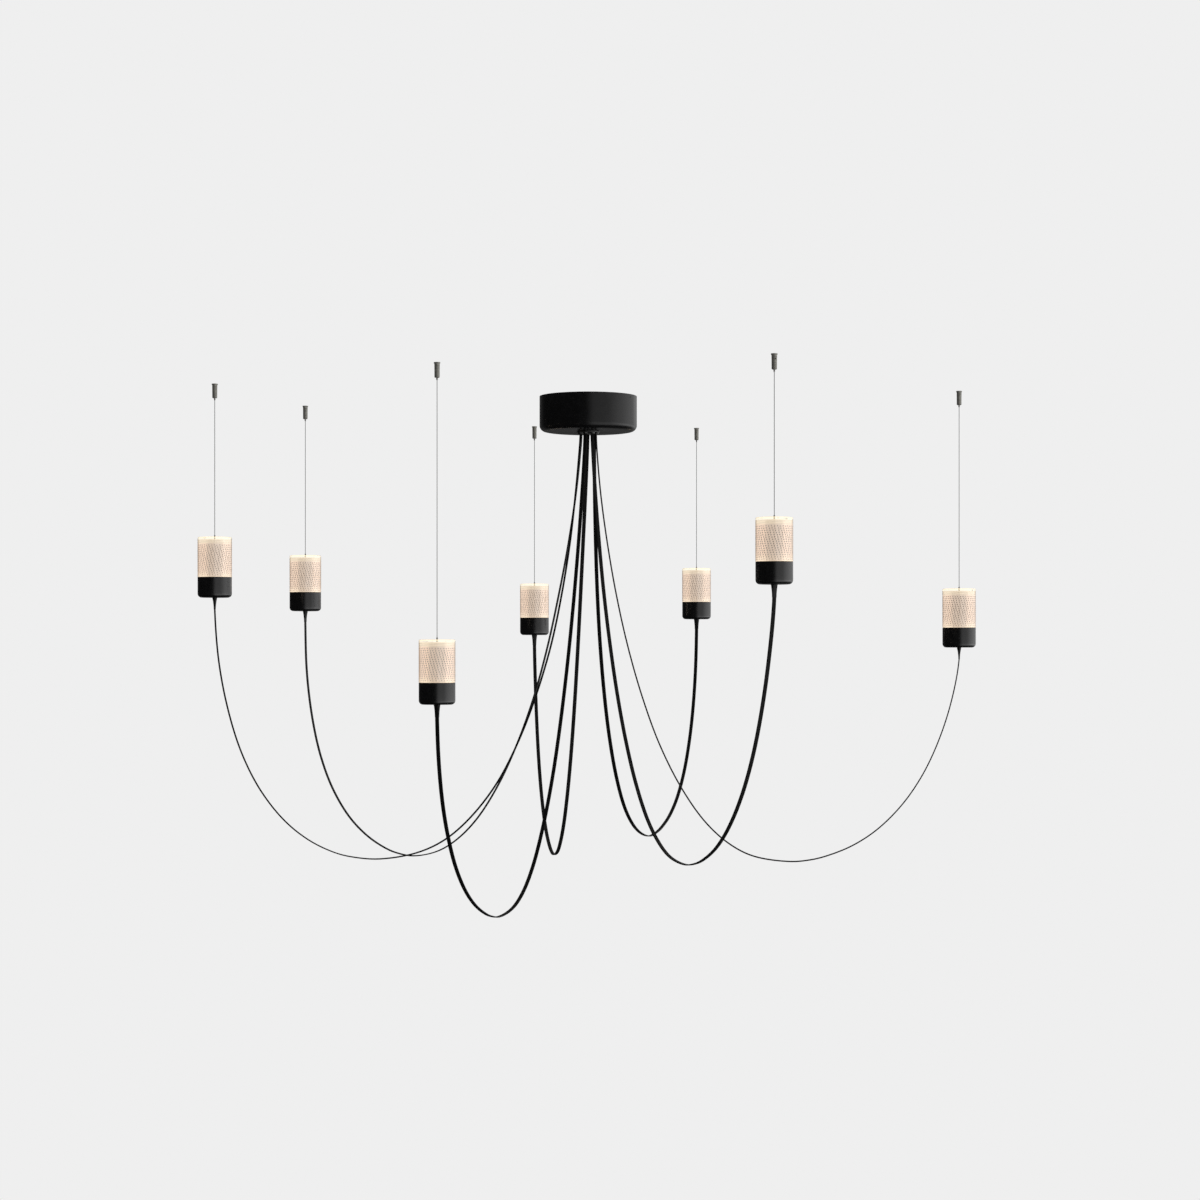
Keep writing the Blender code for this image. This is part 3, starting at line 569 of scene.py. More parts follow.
@dataclass(frozen=True)
class EtchedLight(InnerFinish):
    """The glass's matt inner wall, lit through the glass: cream at its ends and peach between, with painted
    shade that darkens the glow where the wall faces the eye.
    """

    end_colour: Colour = (1.0, 0.915, 0.715)
    # Painted shade: the front and near colours are the glow darkened where the wall faces the eye; the side
    # colour is the lighter glow towards the outline.
    side_colour: Colour = (0.912, 0.696, 0.544)
    front_shade_colour: Colour = (0.627, 0.506, 0.41)
    near_shade_colour: Colour = (0.75, 0.63, 0.475)
    side_span: Span = (0.025, 0.11)
    columns: tuple[int, int] = (41, 44)
    row_pitch: float = 9.5 * MM
    far_span: Span = (0.0, 0.7)
    far_shade: float = 0.6
    far_strength: float = 0.35
    speck_span: Span = (0.35, 0.65)
    speck_colours: tuple[Colour, Colour] = ((0.14, 0.12, 0.10), (0.19, 0.16, 0.13))
    cover: float = 0.92

    def far_dots(self, sheet: NodeSheet) -> Socket:
        """Return how the far wall's dots show through: two slanting waves about the glass's own axis.

        Args:
            sheet: The material's node sheet.

        Returns:
            The mask's socket, 1 where a far dot shows.
        """
        axes = sheet.split(sheet.place())
        azimuth = sheet.sum("ARCTAN2", axes["Y"], axes["X"])
        rise = sheet.sum("MULTIPLY", axes["Z"], math.tau / self.row_pitch)
        fall = sheet.sum("MULTIPLY", rise, -1.0)
        left, right = (
            sheet.sum("SINE", sheet.sum("MULTIPLY_ADD", azimuth, columns, slant))
            for columns, slant in zip(self.columns, (rise, fall))
        )
        return sheet.remap(sheet.sum("MULTIPLY", left, right), self.far_span)

    def detail(self, sheet: NodeSheet, shelf: EffectShelf) -> dict[str, object]:
        """Add the glow's colours with their painted shade by the view's angle, the far wall's dots and a
        fine frosted grain.

        Args:
            sheet: The material's node sheet.
            shelf: The shared effects.

        Returns:
            What feeds the shader's inputs, by their names.
        """
        glow = shelf.use(sheet, Effect.GLOW)
        grain = shelf.use(sheet, Effect.GRAIN, scale=self.grain_scale)
        # Painted shade by the view's angle: darker where the wall faces the eye, lighter towards its
        # outline.
        slanted = sheet.remap(sheet.facing(), self.side_span)
        deep = sheet.mix(slanted, self.front_shade_colour, self.side_colour)
        near = sheet.mix(slanted, self.near_shade_colour, self.colour)
        lit = sheet.mix(glow["Depth"], near, deep)
        # Painted shade: the glow line over the cup's rim is taken away where the wall faces the eye.
        front_foot_shade = sheet.sum("MULTIPLY", glow["Foot"], sheet.sum("SUBTRACT", 1.0, slanted))
        band = sheet.sum("SUBTRACT", glow["Band"], front_foot_shade)
        seen = sheet.sum("MULTIPLY", self.far_dots(sheet), self.far_strength)
        dotted = sheet.mix(seen, lit, shaded(self.front_shade_colour, self.far_shade))
        speck = sheet.remap(grain["Height"], self.speck_span)
        return {
            **self.sheen(sheet, grain),
            "Base Color": sheet.mix(speck, *self.speck_colours),
            "Emission Color": sheet.mix(band, dotted, self.end_colour),
            "Alpha": self.cover,
        }


@dataclass(frozen=True)
class DotEnamel(InnerFinish):
    """The fired dots: darker than the etched wall, and a little lit from behind."""

    lit_colour: Colour = (0.17, 0.131, 0.104)
    top_gain: float = 1.35
    mottle_gain: float = 1.3

    def detail(self, sheet: NodeSheet, shelf: EffectShelf) -> dict[str, object]:
        """Add a pale mottle and the light that comes through.

        Args:
            sheet: The material's node sheet.
            shelf: The shared effects.

        Returns:
            What feeds the shader's inputs, by their names.
        """
        depth = shelf.use(sheet, Effect.GLOW)["Depth"]
        grain = shelf.use(sheet, Effect.GRAIN, scale=self.grain_scale)
        light = shaded(self.colour, self.mottle_gain)
        return {
            **self.sheen(sheet, grain),
            "Base Color": sheet.mix(grain["Mottle"], self.colour, light),
            "Emission Color": sheet.mix(depth, shaded(self.lit_colour, self.top_gain), self.lit_colour),
        }


BLACK_PAINT = Coating(
    "satin_black_paint", "satin_black", (0.0042, 0.0042, 0.0044), 0.26,
    grain_scale=1500.0, grain_depth=0.008 * MM, contrast=0.15, dust=0.05, wear=0.25,
)
COVER_PAINT = replace(BLACK_PAINT, name="satin_black_cover", specular=0.25)
BLACK_NYLON = Coating(
    "moulded_black_nylon", "black_nylon", (0.006, 0.006, 0.006), 0.45, grain_scale=2200.0, wear=0.1,
)
BOOT_RUBBER = Coating(
    "soft_boot_rubber", "boot_rubber", (0.005, 0.005, 0.005), 0.55, grain_scale=2600.0, specular=0.2,
)
CORD_RUBBER = Coating(
    "matt_cord_jacket", "cord_jacket", (0.005, 0.005, 0.005), 0.6,
    grain_scale=3200.0, grain_depth=0.012 * MM, dust=0.03, specular=0.08,
)
DRIVER_PLASTIC = Coating(
    "driver_housing_plastic", "driver_housing", (0.78, 0.78, 0.75), 0.5,
    grain_scale=1800.0, contrast=0.05, dust=0.1,
)
BOARD_MASK = Coating(
    "white_solder_mask", "heat_sink", (0.80, 0.80, 0.77), 0.35,
    grain_scale=1200.0, contrast=0.04, dust=0.0,
)
LED_GEL = Coating(
    "yellow_led_gel", "heat_sink", (0.85, 0.58, 0.08), 0.3, grain_scale=4000.0, contrast=0.1, dust=0.0,
)
ZINC_SHEET = WorkedMetal(
    "zinc_plated_sheet", "zinc_plate", (0.50, 0.50, 0.48), 0.42, pitch=0.9 * MM, contrast=0.14,
)
GUNMETAL = WorkedMetal(
    "turned_gunmetal", "gunmetal", (0.19, 0.185, 0.165), 0.5, pitch=0.35 * MM, wear=0.25, metal=0.5,
)
NICKEL = WorkedMetal("dark_nickel", "nickel", (0.16, 0.155, 0.145), 0.3, pitch=0.2 * MM)
WIRE_STEEL = WorkedMetal("stranded_steel", "wire", (0.03, 0.03, 0.03), 0.5, pitch=1.2 * MM, wear=0.6)
SINK_ALUMINIUM = WorkedMetal("cast_aluminium", "heat_sink", (0.55, 0.55, 0.54), 0.4, pitch=0.5 * MM)
GLASS = CastGlass("thick_cast_glass", "shade_glass", (0.99, 0.975, 0.96), 0.015)
INNER_WALL = EtchedLight("etched_inner_wall", "shade_glass", (0.90, 0.765, 0.58), 0.35)
DOTS = DotEnamel(
    "fired_dot_enamel", "shade_glass", (0.05, 0.042, 0.035), 0.5, grain_scale=3000.0, grain_depth=0.02 * MM,
)


def linked(name: str, data: bpy.types.ID) -> bpy.types.Object:
    """Put data in the scene as an object.

    Args:
        name: The object's name.
        data: Its mesh, light or camera.

    Returns:
        The new object.
    """
    thing = bpy.data.objects.new(name, data)
    bpy.context.scene.collection.objects.link(thing)
    return thing


class Wardrobe:
    """Hands out each finish's material, built once."""

    def __init__(self) -> None:
        """Make the shared effects and an empty rack."""
        self.shelf = EffectShelf()
        self.rack: dict[str, bpy.types.Material] = {}

    def get(self, finish: Finish) -> bpy.types.Material:
        """Return a finish's material.

        Args:
            finish: The finish.

        Returns:
            Its material, the same one each time.
        """
        if finish.name not in self.rack:
            self.rack[finish.name] = finish.material(self.shelf)
        return self.rack[finish.name]

    def place(
        self,
        name: str,
        mesh: bpy.types.Mesh,
        finishes: Sequence[Finish],
        body: str,
        location: Vector = Vector(),
        turn: tuple[float, float, float] = (0.0, 0.0, 0.0),
        stands_for: Sequence[str] = (),
    ) -> bpy.types.Object:
        """Put a mesh in the scene as a named piece that rides on a body.

        Args:
            name: The piece's name.
            mesh: Its mesh.
            finishes: Its finishes, in the order of the mesh's material indices.
            body: The body that carries it.
            location: Where its origin goes.
            turn: Its angles about X, Y and Z.
            stands_for: The CAD nodes that it replaces.

        Returns:
            The new piece.
        """
        if not mesh.materials:
            for finish in finishes:
                mesh.materials.append(self.get(finish))
        piece = linked(name, mesh)
        piece.location = location
        piece.rotation_euler = turn
        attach(piece, body)
        if stands_for:
            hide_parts(*stands_for)
        LOG.info("placed %s on %s", name, body)
        return piece

    def dress(self, node: str, finish: Finish) -> None:
        """Give a CAD node that stays in view its finish.

        Args:
            node: The node's name.
            finish: Its finish.
        """
        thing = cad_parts[node]
        for socket in thing.material_slots:
            socket.link = "OBJECT"
            socket.material = self.get(finish)
        LOG.info("dressed %s", node)


def foot_and_top(node: str) -> tuple[Vector, Vector]:
    """Return both ends of a CAD node's upright middle line.

    Args:
        node: The node's name.

    Returns:
        The lower end and the upper end.
    """
    low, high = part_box(node)
    x = (low.x + high.x) / 2
    y = (low.y + high.y) / 2
    return Vector((x, y, low.z)), Vector((x, y, high.z))


def half_width(node: str) -> float:
    """Return half of a CAD node's width, which is a round node's radius."""
    low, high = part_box(node)
    return (high.x - low.x) / 2


def polar(radius: float, angle: float, height: float = 0.0) -> Vector:
    """Return the point at a radius and an angle about Z, in radians, and at a height."""
    return Vector((radius * math.cos(angle), radius * math.sin(angle), height))


def arc(centre: tuple[float, float], radius: float, first: float, last: float, steps: int) -> Outline:
    """Return a round corner's points from the first to the last angle, in degrees, both ends included."""
    angles = [math.radians(first + (last - first) * i / steps) for i in range(steps + 1)]
    return [(centre[0] + radius * math.cos(a), centre[1] + radius * math.sin(a)) for a in angles]


def eased(
    outline: Outline, radius: float, steps: int = 3, least_turn: float = 20.0, most_share: float = 0.45
) -> Outline:
    """Round every corner of a closed outline a little, as a real edge is, but for those on the axis.

    Args:
        outline: The outline's points.
        radius: How far from each corner the rounding starts, at most.
        steps: How many straight steps each rounding has.
        least_turn: The least turn in degrees that counts as a corner.
        most_share: The most of a side that one rounding takes.

    Returns:
        The eased outline.
    """
    result = []
    for i, corner in enumerate(outline):
        here = Vector(corner)
        before = Vector(outline[i - 1])
        after = Vector(outline[(i + 1) % len(outline)])
        turn = (here - before).angle(after - here, 0.0)
        if here.x < TINY or turn < math.radians(least_turn):
            result.append(corner)
            continue
        start, end = (
            here + (other - here).normalized() * min(radius, (other - here).length * most_share)
            for other in (before, after)
        )
        for step in range(steps + 1):
            t = step / steps
            point = start * (1 - t) ** 2 + here * 2 * t * (1 - t) + end * t**2
            result.append((point.x, point.y))
    return result


def smoothed(mesh: bpy.types.Mesh, crease: float) -> bpy.types.Mesh:
    """Shade a mesh smooth but for its sharp edges.

    Args:
        mesh: The mesh.
        crease: The angle in degrees past which an edge stays sharp.

    Returns:
        The same mesh.
    """
    mesh.shade_smooth()
    mesh.set_sharp_from_angle(angle=math.radians(crease))
    return mesh


def sealed(shape: bmesh.types.BMesh, name: str, crease: float = 40.0) -> bpy.types.Mesh:
    """Write a bmesh to a smooth mesh with its faces pointing out.

    Args:
        shape: The bmesh, which is freed.
        name: The mesh's name.
        crease: The angle in degrees past which an edge stays sharp.

    Returns:
        The new mesh.
    """
    bmesh.ops.recalc_face_normals(shape, faces=shape.faces)
    mesh = bpy.data.meshes.new(name)
    shape.to_mesh(mesh)
    shape.free()
    return smoothed(mesh, crease)


def bridged(
    shape: bmesh.types.BMesh, ring: list[bmesh.types.BMVert], after: list[bmesh.types.BMVert]
) -> list[bmesh.types.BMFace]:
    """Join two rings of equally many corners by a band of faces. A pole is a ring of one repeated corner.

    Args:
        shape: The bmesh that holds them.
        ring: The one ring.
        after: The other ring.

    Returns:
        The new faces.
    """
    faces = []
    for four in zip(ring, after, after[1:] + after[:1], ring[1:] + ring[:1]):
        corners = list(dict.fromkeys(four))
        if len(corners) > 2:
            faces.append(shape.faces.new(corners))
    return faces


def turned(name: str, outline: Outline, segments: int, inner: Span | None = None) -> bpy.types.Mesh:
    """Turn a closed outline of (radius, height) points about Z.

    Args:
        name: The mesh's name.
        outline: The outline's points.
        segments: How many steps round.
        inner: A radius and a height. Faces within that radius and above that height get material 1.

    Returns:
        The turned mesh.
    """
    shape = bmesh.new()
    angles = [math.tau * i / segments for i in range(segments)]
    rings = []
    for radius, height in outline:
        if radius < TINY:
            rings.append([shape.verts.new((0.0, 0.0, height))] * segments)
        else:
            rings.append([shape.verts.new(polar(radius, angle, height)) for angle in angles])
    for ring, after in zip(rings, rings[1:] + rings[:1]):
        for face in bridged(shape, ring, after):
            middle = face.calc_center_median()
            if inner and middle.xy.length < inner[0] and middle.z > inner[1]:
                face.material_index = 1
    return sealed(shape, name)


def lofted(name: str, *solids: Sequence[Sequence[Vector]], crease: float = 40.0) -> bpy.types.Mesh:
    """Loft closed solids, each through its own rings of equally many points.

    Args:
        name: The mesh's name.
        *solids: Each solid's rings, from one end to the other.
        crease: The angle in degrees past which an edge stays sharp.

    Returns:
        The lofted mesh.
    """
    shape = bmesh.new()
    for rings in solids:
        laid = [[shape.verts.new(point) for point in ring] for ring in rings]
        for ring, after in zip(laid, laid[1:]):
            bridged(shape, ring, after)
        shape.faces.new(laid[0])
        shape.faces.new(reversed(laid[-1]))
    return sealed(shape, name, crease)


def flat_round(long: float, short: float, height: float, count: int) -> list[Vector]:
    """Return a level ring with two flat sides and round ends, long in Y.

    Args:
        long: Half its length, along Y.
        short: Half its width, along X, and its ends' radius.
        height: Its height.
        count: How many points it has.

    Returns:
        The ring's points.
    """
    ring = []
    for i in range(count):
        angle = math.tau * (i + 0.5) / count
        shift = math.copysign(long - short, math.sin(angle))
        ring.append(Vector((short * math.cos(angle), short * math.sin(angle) + shift, height)))
    return ring


def round_rings(rounds: Sequence[tuple[float, float]], count: int) -> list[list[Vector]]:
    """Return level round rings of (radius, height), whose points meet those of flat_round."""
    return [flat_round(radius, radius - TINY, height, count) for radius, height in rounds]


@dataclass(frozen=True)
class FlatCord:
    """One flat cord, from its outlet in the gland down in a loop and up into its lamp's boot."""

    number: int
    reach_shares: tuple[tuple[float, ...], tuple[float, ...]]
    loop_drop: float
    outlet_azimuth: float
    width: float = 8.5 * MM
    thickness: float = 2.6 * MM
    valley: float = 0.2 * MM
    valley_width: float = 2.0 * MM
    seat_gap: float = 0.3 * MM
    tuck: float = 2.5 * MM
    curve_steps: int = 12
    end_steps: int = 7

    # Heights down to the loop's lowest point and up again, as shares of the rise to either end.
    HEIGHT_SHARES: ClassVar[tuple[tuple[float, ...], ...]] = (
        (1.0, 0.94, 0.85, 0.74, 0.62, 0.5, 0.38, 0.27, 0.17, 0.09, 0.04, 0.012, 0.0),
        (0.01, 0.03, 0.08, 0.16, 0.28, 0.42, 0.58, 0.78, 1.0),
    )
    RING_RADIUS: ClassVar[float] = 17.5 * MM

    def ends(self) -> tuple[Vector, Vector]:
        """Find where the cord leaves the gland and where it enters its boot.

        Returns:
            The outlet's mouth and the boot's end, on the cord's own line.
        """
        mouth_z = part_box("cord_gland")[0].z
        mouth = polar(self.RING_RADIUS, math.radians(self.outlet_azimuth), mouth_z)
        return mouth, foot_and_top(f"cord_boot_{self.number}")[0]

    def turn(self) -> tuple[float, float, float]:
        """Find which way the lamp lies from the outlet.

        Returns:
            The angles about X, Y and Z that point X that way.
        """
        mouth, boot = self.ends()
        way = boot - mouth
        return 0.0, 0.0, math.atan2(way.y, way.x)

    def route(self) -> list[Vector]:
        """Lay out the route, as the frame's cord has it.

        Returns:
            Its points as (reach, height), both from the outlet's mouth.
        """
        mouth, boot = self.ends()
        reach = (boot - mouth).xy.length
        low = -self.loop_drop
        tops = (mouth.z, boot.z - self.seat_gap)
        points = []
        for shares, heights, top in zip(self.reach_shares, self.HEIGHT_SHARES, tops):
            for along, height in zip(shares, heights):
                points.append(Vector((reach * along, (top - low) * height + low - mouth.z)))
        return points

    def line(self) -> list[Vector]:
        """Draw a smooth curve through the route, tucked in at both ends.

        Returns:
            Close samples of it, as (reach, height).
        """
        points = self.route()
        first = points[0] + Vector((0, (points[0] - points[1]).length))
        last = points[-1] + Vector((0, (points[-1] - points[-2]).length))
        knots = [first, *points, last]
        samples = [points[0] + Vector((0, self.tuck)), points[0]]
        for i in range(1, len(knots) - 2):
            a, b, c, d = knots[i - 1 : i + 3]
            ab, bc, cd = ((q - p).length ** 0.5 for p, q in ((a, b), (b, c), (c, d)))
            leave = ((b - a) / ab - (c - a) / (ab + bc) + (c - b) / bc) * bc
            arrive = ((c - b) / bc - (d - b) / (bc + cd) + (d - c) / cd) * bc
            for step in range(1, self.curve_steps + 1):
                t = step / self.curve_steps
                samples.append(
                    b * (2 * t**3 - 3 * t**2 + 1)
                    + leave * (t**3 - 2 * t**2 + t)
                    + c * (3 * t**2 - 2 * t**3)
                    + arrive * (t**3 - t**2)
                )
        samples.append(points[-1] + Vector((0, self.tuck)))
        return samples

    def section(self) -> Outline:
        """Draw the cord's section: round edges, and a shallow valley between its two cores.

        Returns:
            Its points as (across, deep).
        """
        edge = self.thickness / 2
        flat = self.width / 2 - edge
        half = arc((flat, 0.0), edge, -90, 90, self.end_steps)
        half += [(self.valley_width / 2, edge), (0.0, edge - self.valley), (-self.valley_width / 2, edge)]
        return half + [(-across, -depth) for across, depth in half]

    def build(self, wardrobe: Wardrobe) -> bpy.types.Object:
        """Args:
            wardrobe: The finishes.

        Returns:
            The cord.
        """
        mouth, boot = self.ends()
        way = (boot - mouth).xy.to_3d().normalized()
        across = Vector((-way.y, way.x, 0.0))
        path = [mouth + way * point.x + Vector((0, 0, point.y)) for point in self.line()]
        rings = []
        for i, centre in enumerate(path):
            before = path[max(i - 1, 0)]
            after = path[min(i + 1, len(path) - 1)]
            normal = (after - before).normalized().cross(across)
            rings.append([centre + across * wide + normal * deep for wide, deep in self.section()])
        name = f"cord_loop_{self.number}"
        mesh = lofted(name, rings, crease=60.0)
        node = f"flat_cord_{self.number}"
        cord = wardrobe.place(name, mesh, (CORD_RUBBER,), "canopy", stands_for=(node,))
        cord.parent = None
        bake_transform(cord)
        return cord


@dataclass(frozen=True)
class CordSet:
    """The seven cords and how their outlets stand round the gland."""

    drop: float = 1084.4 * MM
    drop_shares: tuple[float, ...] = (0.911, 0.924, 1.0, 0.943, 0.9, 0.901, 0.922)
    first_outlet: float = 42.8
    outlet_ranks: tuple[int, ...] = (3, 2, 4, 1, 0, 5, 6)

    # Each cord's reach at HEIGHT_SHARES, down and up, as shares of the way from its outlet to its lamp.
    REACH_SHARES: ClassVar[tuple[tuple[tuple[float, ...], tuple[float, ...]], ...]] = (
        (
            (0.0, 0.005, 0.015, 0.03, 0.053, 0.083, 0.1255, 0.176, 0.238, 0.313, 0.384, 0.46, 0.561),
            (0.632, 0.682, 0.749, 0.815, 0.878, 0.926, 0.961, 0.988, 1.0),
        ),
        (
            (0.0, 0.007, 0.022, 0.047, 0.081, 0.12, 0.169, 0.228, 0.297, 0.373, 0.446, 0.515, 0.599),
            (0.658, 0.702, 0.768, 0.835, 0.897, 0.942, 0.973, 0.994, 1.0),
        ),
        (
            (0.0, 0.009, 0.029, 0.057, 0.093, 0.135, 0.185, 0.241, 0.308, 0.38, 0.449, 0.519, 0.609),
            (0.663, 0.703, 0.766, 0.828, 0.887, 0.931, 0.965, 0.989, 1.0),
        ),
        (
            (0.0, 0.014, 0.043, 0.082, 0.125, 0.171, 0.223, 0.28, 0.345, 0.414, 0.478, 0.535, 0.607),
            (0.653, 0.688, 0.744, 0.801, 0.859, 0.906, 0.944, 0.977, 1.0),
        ),
        (
            (0.0, 0.001, 0.005, 0.013, 0.027, 0.05, 0.085, 0.131, 0.192, 0.266, 0.345, 0.425, 0.51),
            (0.575, 0.63, 0.712, 0.79, 0.862, 0.916, 0.957, 0.987, 1.0),
        ),
        (
            (0.0, 0.007, 0.021, 0.043, 0.072, 0.109, 0.154, 0.206, 0.267, 0.335, 0.401, 0.463, 0.546),
            (0.603, 0.646, 0.711, 0.775, 0.84, 0.893, 0.936, 0.974, 1.0),
        ),
        (
            (0.0, 0.004, 0.014, 0.032, 0.057, 0.089, 0.13, 0.178, 0.238, 0.305, 0.371, 0.437, 0.539),
            (0.597, 0.64, 0.708, 0.776, 0.843, 0.897, 0.94, 0.977, 1.0),
        ),
    )

    def cords(self) -> list[FlatCord]:
        """Lay out the seven cords.

        Returns:
            The cords, in the lamps' order.
        """
        step = 360.0 / len(self.outlet_ranks)
        rows = zip(LAMPS, self.REACH_SHARES, self.drop_shares, self.outlet_ranks)
        return [
            FlatCord(number, reach, self.drop * share, self.first_outlet + rank * step)
            for number, reach, share, rank in rows
        ]


@dataclass(frozen=True)
class Canopy:
    """The spun cover with its screws, the cord gland and the hidden ceiling gear."""

    wall: float = 2.0 * MM
    corner: float = 13.0 * MM
    corner_steps: int = 14
    rim_ease: float = 0.5 * MM
    screw_drop: float = 8.0 * MM
    screw_radius: float = 2.7 * MM
    screw_dome: float = 0.5 * MM
    screw_shank: float = 3.2 * MM
    screw_points: int = 24
    socket_radius: float = 1.15 * MM
    socket_depth: float = 0.35 * MM
    socket_land: float = 1.25
    screw_azimuths: tuple[float, ...] = (90.0, 210.0, 330.0)
    hole_radius: float = 22.35 * MM
    barb_reach: float = 1.2 * MM
    gland_ease: float = 0.3 * MM
    gland_segments: int = 96
    flange_thickness: float = 1.5 * MM
    spigot_step: float = 3.0 * MM
    collar_radius: float = 5.55 * MM
    collar_flare: float = 0.9 * MM
    collar_height: float = 4.0 * MM
    collar_ease: float = 0.8 * MM
    socket_room: float = 0.3 * MM
    socket_rise: float = 2.0 * MM
    mouth_ease: float = 0.1 * MM
    cover_segments: int = 160
    collar_points: int = 36

    # A screw head's radii and heights, as shares of its own radius and dome.
    DOME_SHARES: ClassVar[tuple[Span, ...]] = ((1.0, 0.4), (0.8, 0.85))
    # Out from a collar's body and down from its foot, as shares of the flare.
    FLARE_SHARES: ClassVar[tuple[Span, ...]] = ((1.0, 0.0), (0.3, 0.6), (0.0, 1.5))
    # In from a collar's body and up from its mouth, as shares of the ease.
    EASE_SHARES: ClassVar[tuple[Span, ...]] = ((0.05, 1.0), (0.35, 0.35), (1.0, 0.0))

    def cover(self) -> bpy.types.Mesh:
        """Turn the cover, with rounded corner, rim and hole edge.

        Returns:
            The cover's mesh.
        """
        low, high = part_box("canopy_cover")
        radius = half_width("canopy_cover")
        outer = (radius - self.corner, low.z + self.corner)
        outline = [
            (radius, high.z),
            *arc(outer, self.corner, 0, -90, self.corner_steps),
            (self.hole_radius, low.z),
            (self.hole_radius, low.z + self.wall),
            *arc(outer, self.corner - self.wall, -90, 0, self.corner_steps),
            (radius - self.wall, high.z),
        ]
        return turned("canopy_cover", eased(outline, self.rim_ease), self.cover_segments)

    def gland(self) -> bpy.types.Mesh:
        """Turn the gland's disc: flange, groove and barb.

        Returns:
            The disc's mesh.
        """
        low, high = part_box("cord_gland")
        radius = half_width("cord_gland")
        spigot = radius - self.spigot_step
        flange_low = low.z + self.collar_height
        flange_top = flange_low + self.flange_thickness
        barb_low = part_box("canopy_cover")[0].z + self.wall + self.socket_room
        outline = [
            (0.0, high.z),
            (spigot, high.z),
            (self.hole_radius + self.barb_reach, barb_low),
            (spigot, barb_low),
            (spigot, flange_top),
            (radius, flange_top),
            (radius - self.flange_thickness / 2, flange_low),
            (0.0, flange_low),
        ]
        return turned("gland_disc", eased(outline, self.gland_ease), self.gland_segments)

    def collar(self, cord: FlatCord) -> bpy.types.Mesh:
        """Return one outlet's collar: flared foot, round body and a flat mouth for its cord.

        Args:
            cord: The cord that leaves it.

        Returns:
            The collar's mesh, with its mouth at z = 0 and its foot above.
        """
        long = cord.width / 2 + self.socket_room
        short = cord.thickness / 2 + self.socket_room
        ease = self.mouth_ease
        rounds = [(self.collar_radius, self.collar_height + self.flange_thickness / 2)]
        for out, down in self.FLARE_SHARES:
            radius = self.collar_radius + self.collar_flare * out
            rounds.append((radius, self.collar_height - self.collar_flare * down))
        for inward, up in self.EASE_SHARES:
            rounds.append((self.collar_radius - self.collar_ease * inward, self.collar_ease * up))
        rings = round_rings(rounds, self.collar_points)
        for wider, height in ((ease, 0.0), (0.0, ease), (0.0, self.socket_rise)):
            rings.append(flat_round(long + wider, short + wider, height, self.collar_points))
        return lofted("outlet_collar", rings)

    def screw(self) -> bpy.types.Mesh:
        """Make a domed screw with a hexagon socket.

        Returns:
            The screw's mesh. It points up, and its head's seat is z = 0.
        """
        rounds = [
            (self.screw_radius / 2, -self.screw_shank),
            (self.screw_radius / 2, 0.0),
            (self.screw_radius, 0.0),
            *((self.screw_radius * wide, self.screw_dome * high) for wide, high in self.DOME_SHARES),
            (self.socket_radius * self.socket_land, self.screw_dome),
        ]
        rings = round_rings(rounds, self.screw_points)
        sixth = math.pi / 3
        for height in (self.screw_dome, self.screw_dome - self.socket_depth):
            ring = []
            for point in round_rings([(self.socket_radius, height)], self.screw_points)[0]:
                angle = math.atan2(point.y, point.x)
                side = (angle + math.tau) % sixth - sixth / 2
                reach = self.socket_radius * math.cos(sixth / 2) / math.cos(side)
                ring.append(polar(reach, angle, height))
            rings.append(ring)
        return lofted("cover_screw", rings)

    def build(self, wardrobe: Wardrobe, cords: Sequence[FlatCord]) -> None:
        """Place the canopy's pieces and dress the frame's own.

        Args:
            wardrobe: The finishes.
            cords: The cords that leave the gland.
        """
        wardrobe.place("spun_cover", self.cover(), (COVER_PAINT,), "canopy", stands_for=("canopy_cover",))
        wardrobe.place("gland_disc", self.gland(), (BLACK_NYLON,), "canopy", stands_for=("cord_gland",))
        collar = self.collar(cords[0])
        for cord in cords:
            name = f"outlet_collar_{cord.number}"
            wardrobe.place(name, collar, (BLACK_NYLON,), "canopy", cord.ends()[0], cord.turn())
        screw = self.screw()
        for index, azimuth in enumerate(self.screw_azimuths, 1):
            angle = math.radians(azimuth)
            spot = polar(half_width("canopy_cover"), angle, -self.screw_drop)
            turn = (0.0, math.pi / 2, angle)
            wardrobe.place(f"cover_screw_{index}", screw, (COVER_PAINT,), "canopy", spot, turn)
        wardrobe.dress("ceiling_plate", ZINC_SHEET)
        wardrobe.dress("led_driver", DRIVER_PLASTIC)


